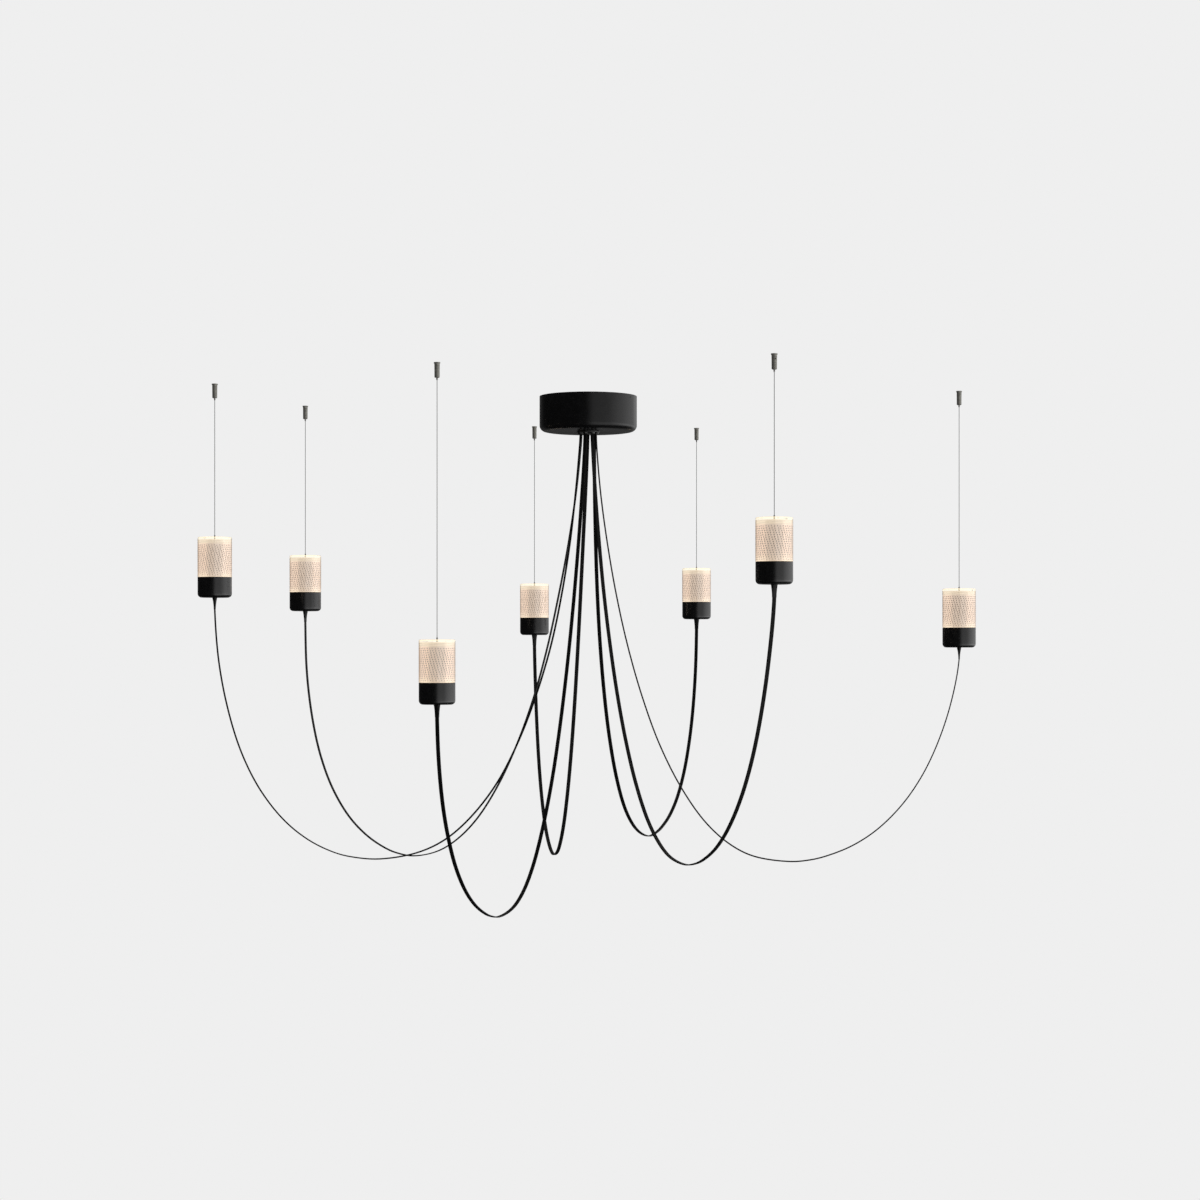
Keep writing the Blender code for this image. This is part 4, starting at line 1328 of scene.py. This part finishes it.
@dataclass(frozen=True)
class Gripper:
    """A ceiling gripper with its release nozzle."""

    length: float = 29.6 * MM
    flange_radius: float = 6.2 * MM
    flange_thickness: float = 1.8 * MM
    neck: float = 2.2 * MM
    top_radius: float = 5.2 * MM
    foot_radius: float = 5.0 * MM
    chamfer: float = 0.8 * MM
    lip: float = 3.0 * MM
    lip_radius: float = 1.8 * MM
    cap: float = 8.5 * MM
    chamber_radius: float = 2.5 * MM
    exit_radius: float = 1.3 * MM
    exit_drop: float = 10.3 * MM
    exit_segments: int = 32
    body_ease: float = 0.25 * MM
    body_crease: float = 30.0
    nozzle_radius: float = 1.5 * MM
    nozzle_bore: float = 0.9 * MM
    nozzle_collar: float = 0.7 * MM
    nozzle_collar_height: float = 2.0 * MM
    nozzle_gap: float = 0.3 * MM
    nozzle_stickout: float = 4.6 * MM
    nozzle_tip: float = 1.8 * MM
    nozzle_tip_wall: float = 0.4 * MM
    nozzle_ease: float = 0.3 * MM
    nozzle_segments: int = 40
    segments: int = 64
    exit_azimuths: tuple[float, ...] = (75.0, 110.0, 60.0, 95.0, 130.0, 296.0, 85.0)

    # Out from the flange's edge, then from the body's, each with its share of the way down the neck.
    FILLET: ClassVar[tuple[Span, ...]] = ((-0.4 * MM, 0.25), (0.15 * MM, 0.65))

    def body(self, azimuth: float) -> bpy.types.Mesh:
        """Return the gripper's body, hung from z = 0, with its side exit drilled.

        Args:
            azimuth: Which way the side exit looks, in degrees.

        Returns:
            The body's mesh.
        """
        foot = -self.length
        fillet = [
            (radius + wider, -self.flange_thickness - share * self.neck)
            for radius, (wider, share) in zip((self.flange_radius, self.top_radius), self.FILLET)
        ]
        outline = [
            (0.0, 0.0),
            (self.flange_radius, 0.0),
            (self.flange_radius, -self.flange_thickness),
            *fillet,
            (self.top_radius, -self.flange_thickness - self.neck),
            (self.foot_radius, foot + self.chamfer),
            (self.foot_radius - self.chamfer, foot),
            (self.lip_radius, foot),
            (self.lip_radius, foot + self.lip),
            (self.chamber_radius, foot + self.lip),
            (self.chamber_radius, -self.cap),
            (0.0, -self.cap),
        ]
        solid = linked("drilled", turned("gripper_body", eased(outline, self.body_ease), self.segments))
        shape = bmesh.new()
        bmesh.ops.create_cone(
            shape, cap_ends=True, segments=self.exit_segments,
            radius1=self.exit_radius, radius2=self.exit_radius, depth=2 * self.flange_radius,
        )
        drill = linked("drill", sealed(shape, "drill"))
        angle = math.radians(azimuth)
        drill.location = polar(self.flange_radius, angle, -self.exit_drop)
        drill.rotation_euler = (0.0, math.pi / 2, angle)
        cut = solid.modifiers.new("side_exit", "BOOLEAN")
        cut.object = drill
        cut.solver = "EXACT"
        bpy.context.view_layer.update()
        graph = bpy.context.evaluated_depsgraph_get()
        mesh = bpy.data.meshes.new_from_object(solid.evaluated_get(graph))
        for thing in (solid, drill):
            bpy.data.objects.remove(thing)
        return smoothed(mesh, self.body_crease)

    def nozzle(self) -> bpy.types.Mesh:
        """Turn the release nozzle.

        Returns:
            The nozzle's mesh, with the gripper's foot at z = 0.
        """
        shoulder = self.lip + self.nozzle_gap
        top = shoulder + self.nozzle_collar_height
        tip = -self.nozzle_stickout
        collar = self.nozzle_radius + self.nozzle_collar
        outline = [
            (collar, top),
            (collar, shoulder),
            (self.nozzle_radius, shoulder),
            (self.nozzle_radius, tip + self.nozzle_tip),
            (self.nozzle_bore + self.nozzle_tip_wall, tip),
            (self.nozzle_bore, tip),
            (self.nozzle_bore, top),
        ]
        return turned("nozzle", eased(outline, self.nozzle_ease), self.nozzle_segments)


@dataclass(frozen=True)
class WireRope:
    """A suspension wire: a core with six strands laid round it, a ferrule and an end stop."""

    radius: float = 0.6 * MM
    groove: float = 0.13 * MM
    strands: int = 6
    lay: float = 11.0 * MM
    points_per_strand: int = 3
    rings_per_lay: int = 12
    seat: float = 0.3 * MM
    ferrule_gap: float = 0.02 * MM
    ferrule_radius: float = 1.5 * MM
    ferrule_height: float = 4.0 * MM
    ferrule_chamfer: float = 0.8 * MM
    ferrule_ease: float = 0.25 * MM
    ferrule_segments: int = 40
    neck_radius: float = 1.0 * MM
    roof: float = 5.0 * MM
    stop_radius: float = 2.0 * MM
    stop_height: float = 3.5 * MM
    stop_ease: float = 0.4 * MM
    stop_segments: int = 32

    def rope(self, low: float, high: float) -> bpy.types.Mesh:
        """Return the laid rope between two heights.

        Args:
            low: Its lower end.
            high: Its upper end.

        Returns:
            The rope's mesh.
        """
        count = math.ceil((high - low) / (self.lay / self.rings_per_lay))
        points = self.strands * self.points_per_strand
        rings = []
        for level in range(count + 1):
            height = low + (high - low) * level / count
            twist = math.tau * (height - low) / self.lay
            ring = []
            for i in range(points):
                angle = math.tau * i / points
                crown = abs(math.cos(self.strands * angle / 2))
                ring.append(polar(self.radius - self.groove * (1.0 - crown), angle + twist, height))
            rings.append(ring)
        return lofted("wire_rope", rings, crease=80.0)

    def ferrule(self) -> bpy.types.Mesh:
        """Turn the ferrule that sits on the glass, with its neck through the roof.

        Returns:
            The ferrule's mesh, with the glass's top at z = 0.
        """
        bore = self.radius + self.ferrule_gap
        top = self.seat + self.ferrule_height
        outline = [
            (self.ferrule_radius - self.ferrule_chamfer, top),
            (self.ferrule_radius, top - self.ferrule_chamfer),
            (self.ferrule_radius, self.seat),
            (self.neck_radius, self.seat),
            (self.neck_radius, -self.roof - self.seat),
            (bore, -self.roof - self.seat),
            (bore, top),
        ]
        return turned("ferrule", eased(outline, self.ferrule_ease), self.ferrule_segments)

    def stop(self) -> bpy.types.Mesh:
        """Turn the end stop that is swaged on under the light engine.

        Returns:
            The stop's mesh, with its foot at z = 0.
        """
        outline = [
            (0.0, self.stop_height),
            (self.stop_radius, self.stop_height),
            (self.stop_radius, 0.0),
            (0.0, 0.0),
        ]
        return turned("wire_stop", eased(outline, self.stop_ease), self.stop_segments)


@dataclass(frozen=True)
class LampHead:
    """The shapes that all seven lamps share, about the cup's underside at z = 0."""

    radius: float = 35.0 * MM
    cup_height: float = 42.0 * MM
    cup_wall: float = 2.5 * MM
    cup_floor: float = 3.0 * MM
    cup_corner: float = 8.0 * MM
    cup_ease: float = 0.45 * MM
    floor_angle: float = -60.0
    seat: float = 0.3 * MM
    glass_height: float = 82.0 * MM
    glass_corner: float = 2.5 * MM
    glass_roof: float = 5.0 * MM
    glass_ease: float = 0.5 * MM
    spigot_length: float = 12.0 * MM
    spigot_wall: float = 2.2 * MM
    neck_radius: float = 1.0 * MM
    wire_bore: float = 0.9 * MM
    board_thickness: float = 3.0 * MM
    board_gap: float = 1.2 * MM
    board_ease: float = 0.2 * MM
    led_count: int = 28
    led_inset: float = 2.2 * MM
    led_stretch: float = 1.25
    sink_radius: float = 23.0 * MM
    sink_ribs: int = 24
    rib_points: int = 6
    rib_depth: float = 3.0 * MM
    recess_radius: float = 7.0 * MM
    stop_room: float = 3.5 * MM
    boot_width: float = 13.4 * MM
    boot_depth: float = 9.6 * MM
    boot_length: float = 24.0 * MM
    boot_skin: float = 0.4 * MM
    boot_taper: float = 1.95
    boot_neck: float = 4.0 * MM
    boot_head: float = 5.5 * MM
    head_height: float = 1.5 * MM
    head_ease: float = 0.3 * MM
    boot_collar_ease: float = 0.35 * MM
    socket_room: float = 0.1 * MM
    socket_depth: float = 1.5 * MM
    boot_steps: int = 18
    boot_points: int = 40
    dot_columns: int = 36
    dot_rows: int = 16
    dot_slant: float = 0.22
    dot_sway: float = 0.08
    dot_waves: tuple[float, float] = (1.3, 2.1)
    dot_step: float = 0.15
    dot_width: float = 2.35 * MM
    dot_height: float = 2.8 * MM
    dot_least: float = 0.7
    dot_relief: float = 0.05 * MM
    dot_corners: int = 8
    dot_margin_top: float = 13.5 * MM
    dot_margin_low: float = 3.5 * MM
    segments: int = 112
    corner_steps: int = 10

    # Half a package's depth and its height over the board's face, from its top down.
    LED_LEVELS: ClassVar[tuple[Span, ...]] = (
        (0.82 * MM, 0.2 * MM),
        (1.0 * MM, 0.12 * MM),
        (1.0 * MM, -0.1 * MM),
    )
    LED_CORNERS: ClassVar[tuple[tuple[int, int], ...]] = ((-1, -1), (1, -1), (1, 1), (-1, 1))

    @property
    def glass_seat(self) -> float:
        """The height of the glass's outer step, just over the cup's rim."""
        return self.cup_height + self.seat

    @property
    def glass_top(self) -> float:
        """The height of the glass's top."""
        return self.glass_seat + self.glass_height

    @property
    def spigot_radius(self) -> float:
        """The outer radius of the glass in the cup's mouth."""
        return self.radius - self.cup_wall - self.seat

    @property
    def bore_radius(self) -> float:
        """The radius of the glass's etched inner wall."""
        return self.spigot_radius - self.spigot_wall

    @property
    def board_top(self) -> float:
        """The height of the light board's face."""
        return self.glass_seat - self.spigot_length - self.seat

    @property
    def board_low(self) -> float:
        """The height of the light board's back, where the heat sink starts."""
        return self.board_top - self.board_thickness

    def glass(self) -> bpy.types.Mesh:
        """Turn the glass: a thick inverted tumbler.

        Returns:
            The glass's mesh. Its inner wall has material 1.
        """
        low = self.glass_seat - self.spigot_length
        roof = self.glass_top - self.glass_roof
        corner = self.glass_corner
        inner_corner = corner / 2
        hole = self.neck_radius + self.seat
        outline = [
            (hole, self.glass_top),
            *arc((self.radius - corner, self.glass_top - corner), corner, 90, 0, self.corner_steps),
            (self.radius, self.glass_seat),
            (self.spigot_radius, self.glass_seat),
            (self.spigot_radius, low),
            (self.bore_radius, low),
            *arc((self.bore_radius - inner_corner, roof - inner_corner), inner_corner,
                 0, 90, self.corner_steps // 2),
            (hole, roof),
        ]
        inner = (self.bore_radius + self.seat / 10, low + self.seat)
        mesh = turned("glass_body", eased(outline, self.glass_ease), self.segments, inner)
        # The hole through the roof is clear again.
        for face in mesh.polygons:
            if face.center.z > roof + self.seat:
                face.material_index = 0
        return mesh

    def dots(self) -> bpy.types.Mesh:
        """Lay the fired dots on the etched wall, in slanting columns, smaller towards both ends.

        Returns:
            The mesh of all the dots.
        """
        low = self.glass_seat + self.dot_margin_low
        high = self.glass_top - self.dot_margin_top
        row_wave, column_wave = self.dot_waves
        solids = []
        for column in range(self.dot_columns):
            for row in range(self.dot_rows):
                sway = self.dot_sway * math.sin(row_wave * row + column_wave * column)
                azimuth = math.tau * (column - row * self.dot_slant + sway) / self.dot_columns
                share = (row + column % 2 * self.dot_step) / self.dot_rows
                size = self.dot_least + (1.0 - self.dot_least) * math.sin(math.pi * share) ** 0.5
                solids.append(self.dot(azimuth, low + (high - low) * share, size))
        return lofted("glass_dots", *solids)

    def dot(self, azimuth: float, height: float, size: float) -> list[list[Vector]]:
        """Return one dot's back and front rings, bent to the etched wall.

        Args:
            azimuth: Its angle round the glass.
            height: Its middle's height.
            size: Its size as a share of the full one.

        Returns:
            The two rings.
        """
        outward = polar(1.0, azimuth)
        beside = Vector((-outward.y, outward.x, 0.0))
        rings = []
        for radius in (self.bore_radius + self.dot_relief, self.bore_radius - self.dot_relief):
            ring = []
            for i in range(self.dot_corners):
                angle = math.tau * i / self.dot_corners
                across = beside * (self.dot_width / 2 * size * math.cos(angle))
                rise = self.dot_height / 2 * size * math.sin(angle)
                point = (outward * self.bore_radius + across).normalized() * radius
                ring.append(Vector((point.x, point.y, height + rise)))
            rings.append(ring)
        return rings

    def cup(self) -> bpy.types.Mesh:
        """Turn the cup with its rounded foot and softly broken rim.

        Returns:
            The cup's mesh.
        """
        inner = self.radius - self.cup_wall
        hole = self.boot_neck + self.seat
        corner = self.cup_corner
        inner_corner = corner - self.cup_wall
        outline = [
            (self.radius, self.cup_height),
            *arc((self.radius - corner, corner), corner, 0, -90, self.corner_steps),
            (hole, 0.0),
            (hole, self.cup_floor),
            (self.radius - corner, self.cup_floor),
            *arc((inner - inner_corner, corner), inner_corner, self.floor_angle, 0, self.corner_steps // 2),
            (inner, self.cup_height),
        ]
        return turned("cup_shell", eased(outline, self.cup_ease), self.segments)

    def board(self) -> bpy.types.Mesh:
        """Turn the ring board that carries the LEDs.

        Returns:
            The board's mesh.
        """
        outer = self.radius - self.cup_wall - self.board_gap
        outline = [
            (outer, self.board_top),
            (outer, self.board_low),
            (self.wire_bore, self.board_low),
            (self.wire_bore, self.board_top),
        ]
        return turned("led_board", eased(outline, self.board_ease), self.segments)

    def leds(self) -> bpy.types.Mesh:
        """Lay the ring of LED packages on the board, beside the glass's lower edge.

        Returns:
            The mesh of all the packages.
        """
        middle = self.bore_radius - self.led_inset
        solids = []
        for i in range(self.led_count):
            outward = polar(1.0, math.tau * i / self.led_count)
            beside = Vector((-outward.y, outward.x, 0.0))
            rings = []
            for half, height in self.LED_LEVELS:
                rise = Vector((0, 0, self.board_top + height))
                rings.append([
                    outward * (middle + a * half) + beside * (b * half * self.led_stretch) + rise
                    for a, b in self.LED_CORNERS
                ])
            solids.append(rings)
        return lofted("led_packages", *solids)

    def sink(self) -> bpy.types.Mesh:
        """Make the heat sink: a ribbed drum with a recess for the boot's head and the wire's end stop.

        Returns:
            The sink's mesh.
        """
        foot = self.cup_floor + self.seat
        recess = foot + self.head_height + self.seat + self.stop_room + self.seat
        count = self.sink_ribs * self.rib_points
        shape = bmesh.new()
        rings = []
        for radius, height in (
            (self.wire_bore, self.board_low),
            (self.sink_radius, self.board_low),
            (self.sink_radius, foot),
            (self.recess_radius, foot),
            (self.recess_radius, recess),
            (self.wire_bore, recess),
        ):
            depth = self.rib_depth if radius == self.sink_radius else 0.0
            ring = []
            for i in range(count):
                groove = depth if i % self.rib_points >= self.rib_points / 2 else 0.0
                ring.append(shape.verts.new(polar(radius - groove, math.tau * i / count, height)))
            rings.append(ring)
        for ring, after in zip(rings, rings[1:] + rings[:1]):
            bridged(shape, ring, after)
        return sealed(shape, "heat_sink")

    def boot(self, cord: FlatCord) -> bpy.types.Mesh:
        """Return the boot: round head and neck, then an oval collar that tapers to the flat cord's section.

        Args:
            cord: The cord that it holds.

        Returns:
            The boot's mesh, with the cord's width along Y.
        """
        top = self.cup_floor + self.seat
        rounds = (
            (self.boot_head - self.head_ease, top + self.head_height),
            (self.boot_head, top + self.head_height - self.head_ease),
            (self.boot_head, top),
            (self.boot_neck, top),
            (self.boot_neck, -self.seat),
        )
        rings = round_rings(rounds, self.boot_points)
        for step in range(self.boot_steps + 1):
            along = step / self.boot_steps
            taper = 1.0 - (1.0 - along) ** self.boot_taper
            long, short = (
                whole / 2 * (1.0 - taper) + (core / 2 + self.boot_skin) * taper
                for whole, core in ((self.boot_width, cord.width), (self.boot_depth, cord.thickness))
            )
            height = -self.seat - self.boot_length * along
            if step == 0:
                ease = self.boot_collar_ease
                rings.append(flat_round(long - ease, short - ease, height, self.boot_points))
                height -= self.seat
            rings.append(flat_round(long, short, height, self.boot_points))
        long = cord.width / 2 + self.socket_room
        short = cord.thickness / 2 + self.socket_room
        last = -self.seat - self.boot_length
        for height in (last, last + self.socket_depth):
            rings.append(flat_round(long, short, height, self.boot_points))
        return lofted("boot_sleeve", rings, crease=50.0)


class LampSet:
    """Places the seven lamps with their wires and grippers."""

    def __init__(self, wardrobe: Wardrobe, cord: FlatCord) -> None:
        """Build the meshes that the lamps share.

        Args:
            wardrobe: The finishes.
            cord: Any of the cords, for its section.
        """
        self.wardrobe = wardrobe
        self.gripper = Gripper()
        self.wire = WireRope()
        head = LampHead()
        self.shared = {
            "glass_body": (head.glass(), (GLASS, INNER_WALL), "glass_shade"),
            "glass_dots": (head.dots(), (DOTS,), None),
            "cup_shell": (head.cup(), (BLACK_PAINT,), "lamp_cup"),
            "heat_sink": (head.sink(), (SINK_ALUMINIUM,), "light_engine"),
            "led_board": (head.board(), (BOARD_MASK,), None),
            "led_packages": (head.leds(), (LED_GEL,), None),
        }
        self.boot = head.boot(cord)
        self.nozzle = self.gripper.nozzle()
        self.ferrule = self.wire.ferrule()
        self.stop = self.wire.stop()

    def place_head(self, number: int, cord: FlatCord) -> None:
        """Place one lamp's glass, cup, light engine and boot.

        Args:
            number: The lamp's number.
            cord: The cord that enters it.
        """
        base = foot_and_top(f"lamp_cup_{number}")[0]
        body = f"lamp_{number}"
        for name, (mesh, finishes, node) in self.shared.items():
            nodes = () if node is None else (f"{node}_{number}",)
            self.wardrobe.place(f"{name}_{number}", mesh, finishes, body, base, stands_for=nodes)
        nodes = (f"cord_boot_{number}",)
        turn = cord.turn()
        self.wardrobe.place(f"boot_sleeve_{number}", self.boot, (BOOT_RUBBER,), body, base, turn, nodes)

    def place_wire(self, number: int) -> None:
        """Place one lamp's wire with its ferrule and end stop.

        Args:
            number: The lamp's number.
        """
        foot, top = foot_and_top(f"suspension_wire_{number}")
        axis = Vector((foot.x, foot.y, 0.0))
        glass_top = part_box(f"glass_shade_{number}")[1].z
        body = f"lamp_{number}"
        mesh = self.wire.rope(foot.z, top.z)
        nodes = (f"suspension_wire_{number}",)
        name = f"wire_rope_{number}"
        rope = self.wardrobe.place(name, mesh, (WIRE_STEEL,), "canopy", axis, stands_for=nodes)
        rope.parent = None
        bpy.context.view_layer.update()
        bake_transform(rope)
        seat = Vector((axis.x, axis.y, glass_top))
        self.wardrobe.place(f"wire_ferrule_{number}", self.ferrule, (NICKEL,), body, seat)
        self.wardrobe.place(f"wire_stop_{number}", self.stop, (NICKEL,), body, foot)

    def place_gripper(self, number: int) -> None:
        """Place one lamp's gripper and release nozzle.

        Args:
            number: The lamp's number.
        """
        foot, top = foot_and_top(f"ceiling_gripper_{number}")
        body = self.gripper.body(self.gripper.exit_azimuths[number - 1])
        nodes = (f"ceiling_gripper_{number}",)
        self.wardrobe.place(f"gripper_body_{number}", body, (GUNMETAL,), "canopy", top, stands_for=nodes)
        nodes = (f"release_nozzle_{number}",)
        carrier = f"release_{number}"
        self.wardrobe.place(f"nozzle_{number}", self.nozzle, (NICKEL,), carrier, foot, stands_for=nodes)

    def build(self, cords: Sequence[FlatCord]) -> None:
        """Place all seven lamps.

        Args:
            cords: Their cords, in the lamps' order.
        """
        for number, cord in zip(LAMPS, cords):
            self.place_head(number, cord)
            self.place_wire(number)
            self.place_gripper(number)


@dataclass(frozen=True)
class Studio:
    """The plain pale room: floor, sky, one large soft light and the camera."""

    pale: float = 0.863
    fill: float = 0.55
    shade_side: float = 0.012
    near_side: float = 0.85
    far_side: float = 1.75
    behind: float = 0.08
    low_gain: float = 1.8
    deep_shade: float = 0.03
    ahead_shade: float = 0.25
    step_span: Span = (-0.02, 0.2)
    rise_span: Span = (0.7, 1.05)
    low_span: Span = (-0.28, -0.02)
    deep_span: Span = (-0.8, -0.5)
    ahead_span: Span = (0.85, 0.98)
    behind_span: Span = (0.6, 0.95)
    beyond_span: Span = (0.0, 0.5)
    under_slant: float = 0.51
    floor_z: float = -2.4
    floor_half: float = 40.0
    floor_colour: float = 0.80
    floor_roughness: float = 0.9
    floor_lift: float = 0.22
    melt_span: Span = (1.2, 3.0)
    key_place: tuple[float, float, float] = (4.1, -2.1, 0.9)
    key_aim: tuple[float, float, float] = (0.0, 0.0, -0.5)
    key_size: float = 3.6
    key_power: float = 90.0
    camera_place: tuple[float, float, float] = (0.026, -5.565, -0.571)
    lens: float = 77.34
    sensor: float = 36.0
    shift: tuple[float, float] = (-0.0002, 0.0506)

    def world(self) -> None:
        """Make the sky: pale to the camera, brighter on its right side in reflections, and a soft fill."""
        world = bpy.data.worlds.new("pale_room")
        bpy.context.scene.world = world
        world.use_nodes = True
        sheet = NodeSheet(world.node_tree)
        ray = sheet.add("ShaderNodeLightPath").outputs
        axes = sheet.split(sheet.add("ShaderNodeTexCoord").outputs["Generated"])
        near = sheet.remap(axes["X"], self.step_span, (self.shade_side, self.near_side))
        far = sheet.remap(axes["X"], self.rise_span, (0.0, self.far_side - self.near_side))
        low = sheet.remap(axes["Z"], self.low_span, (self.low_gain, 1.0))
        under = sheet.sum("MULTIPLY_ADD", axes["Y"], -self.under_slant, axes["Z"])
        deep = sheet.remap(under, self.deep_span, (self.deep_shade, 1.0))
        ahead = sheet.remap(axes["Y"], self.ahead_span, (1.0, self.ahead_shade))
        level = sheet.sum("ADD", near, far)
        for share in (low, deep, ahead):
            level = sheet.sum("MULTIPLY", level, share)
        mirrored = sheet.sum("ADD", level, sheet.remap(axes["Y"], self.behind_span, (0.0, self.behind)))
        beyond = sheet.remap(axes["Y"], self.beyond_span)
        through = sheet.sum("MULTIPLY", ray["Is Transmission Ray"], beyond)
        seen = sheet.sum("MAXIMUM", ray["Is Camera Ray"], through)
        level = sheet.mix(ray["Is Glossy Ray"], (self.fill,) * 3, mirrored)
        sky = sheet.mix(seen, level, (self.pale,) * 3)
        sheet.fill(world.node_tree.nodes["Background"], {"Color": sky})

    def floor(self) -> None:
        """Lay the floor. It shows its own shade under the lamps and melts into the sky further out."""
        mesh = bpy.data.meshes.new("floor")
        h = self.floor_half
        mesh.from_pydata([(-h, -h, 0), (h, -h, 0), (h, h, 0), (-h, h, 0)], [], [(0, 1, 2, 3)])
        floor = linked("floor", mesh)
        floor.location.z = self.floor_z
        material, sheet, shader = fresh_material("pale_floor")
        ray = sheet.add("ShaderNodeLightPath").outputs
        sheet.fill(shader, {
            "Base Color": (self.floor_colour,) * 3 + (1.0,),
            "Roughness": self.floor_roughness,
            "Specular IOR Level": 0.0,
            "Emission Color": (1.0, 1.0, 1.0, 1.0),
            "Emission Strength": sheet.sum("MULTIPLY", ray["Is Camera Ray"], self.floor_lift),
        })
        far = sheet.add("ShaderNodeVectorMath", {"Vector": sheet.place()}, operation="LENGTH")
        fade = sheet.remap(far.outputs["Value"], self.melt_span)
        direct = sheet.sum("MAXIMUM", ray["Is Camera Ray"], ray["Is Transmission Ray"])
        plain = sheet.add("ShaderNodeEmission", {"Color": (self.pale,) * 3 + (1.0,)})
        melt = sheet.add("ShaderNodeMixShader")
        shares = (sheet.sum("MULTIPLY", fade, direct), shader.outputs[0], plain.outputs[0])
        for socket, value in zip(melt.inputs, shares):
            sheet.feed(socket, value)
        sheet.fill(material.node_tree.nodes["Material Output"], {"Surface": melt.outputs[0]})
        mesh.materials.append(material)
        floor.visible_glossy = False

    def light(self) -> None:
        """Hang the large soft light, to the right and a little above."""
        data = bpy.data.lights.new("soft_key", "AREA")
        data.shape = "SQUARE"
        data.size = self.key_size
        data.energy = self.key_power
        lamp = linked("soft_key", data)
        lamp.location = self.key_place
        aim = Vector(self.key_aim) - Vector(self.key_place)
        lamp.rotation_euler = aim.to_track_quat("-Z", "Y").to_euler()
        lamp.visible_camera = False
        lamp.visible_transmission = False
        lamp.visible_glossy = False

    def camera(self) -> None:
        """Set the camera level, at the photograph's place and angle."""
        data = bpy.data.cameras.new("view")
        data.lens = self.lens
        data.sensor_width = self.sensor
        data.shift_x, data.shift_y = self.shift
        camera = linked("view", data)
        camera.location = self.camera_place
        camera.rotation_euler = (math.pi / 2, 0.0, 0.0)
        bpy.context.scene.camera = camera

    def build(self) -> None:
        """Make the whole studio."""
        bpy.context.scene.view_settings.view_transform = "Standard"
        self.world()
        self.floor()
        self.light()
        self.camera()
        LOG.info("studio ready")


def main() -> None:
    """Build the studio, the cords, the canopy and the lamps in order."""
    logging.basicConfig(level=logging.INFO, format="%(name)s: %(message)s")
    Studio().build()
    wardrobe = Wardrobe()
    cords = CordSet().cords()
    for cord in cords:
        cord.build(wardrobe)
    Canopy().build(wardrobe, cords)
    LampSet(wardrobe, cords[0]).build(cords)


if __name__ == "__main__":
    main()
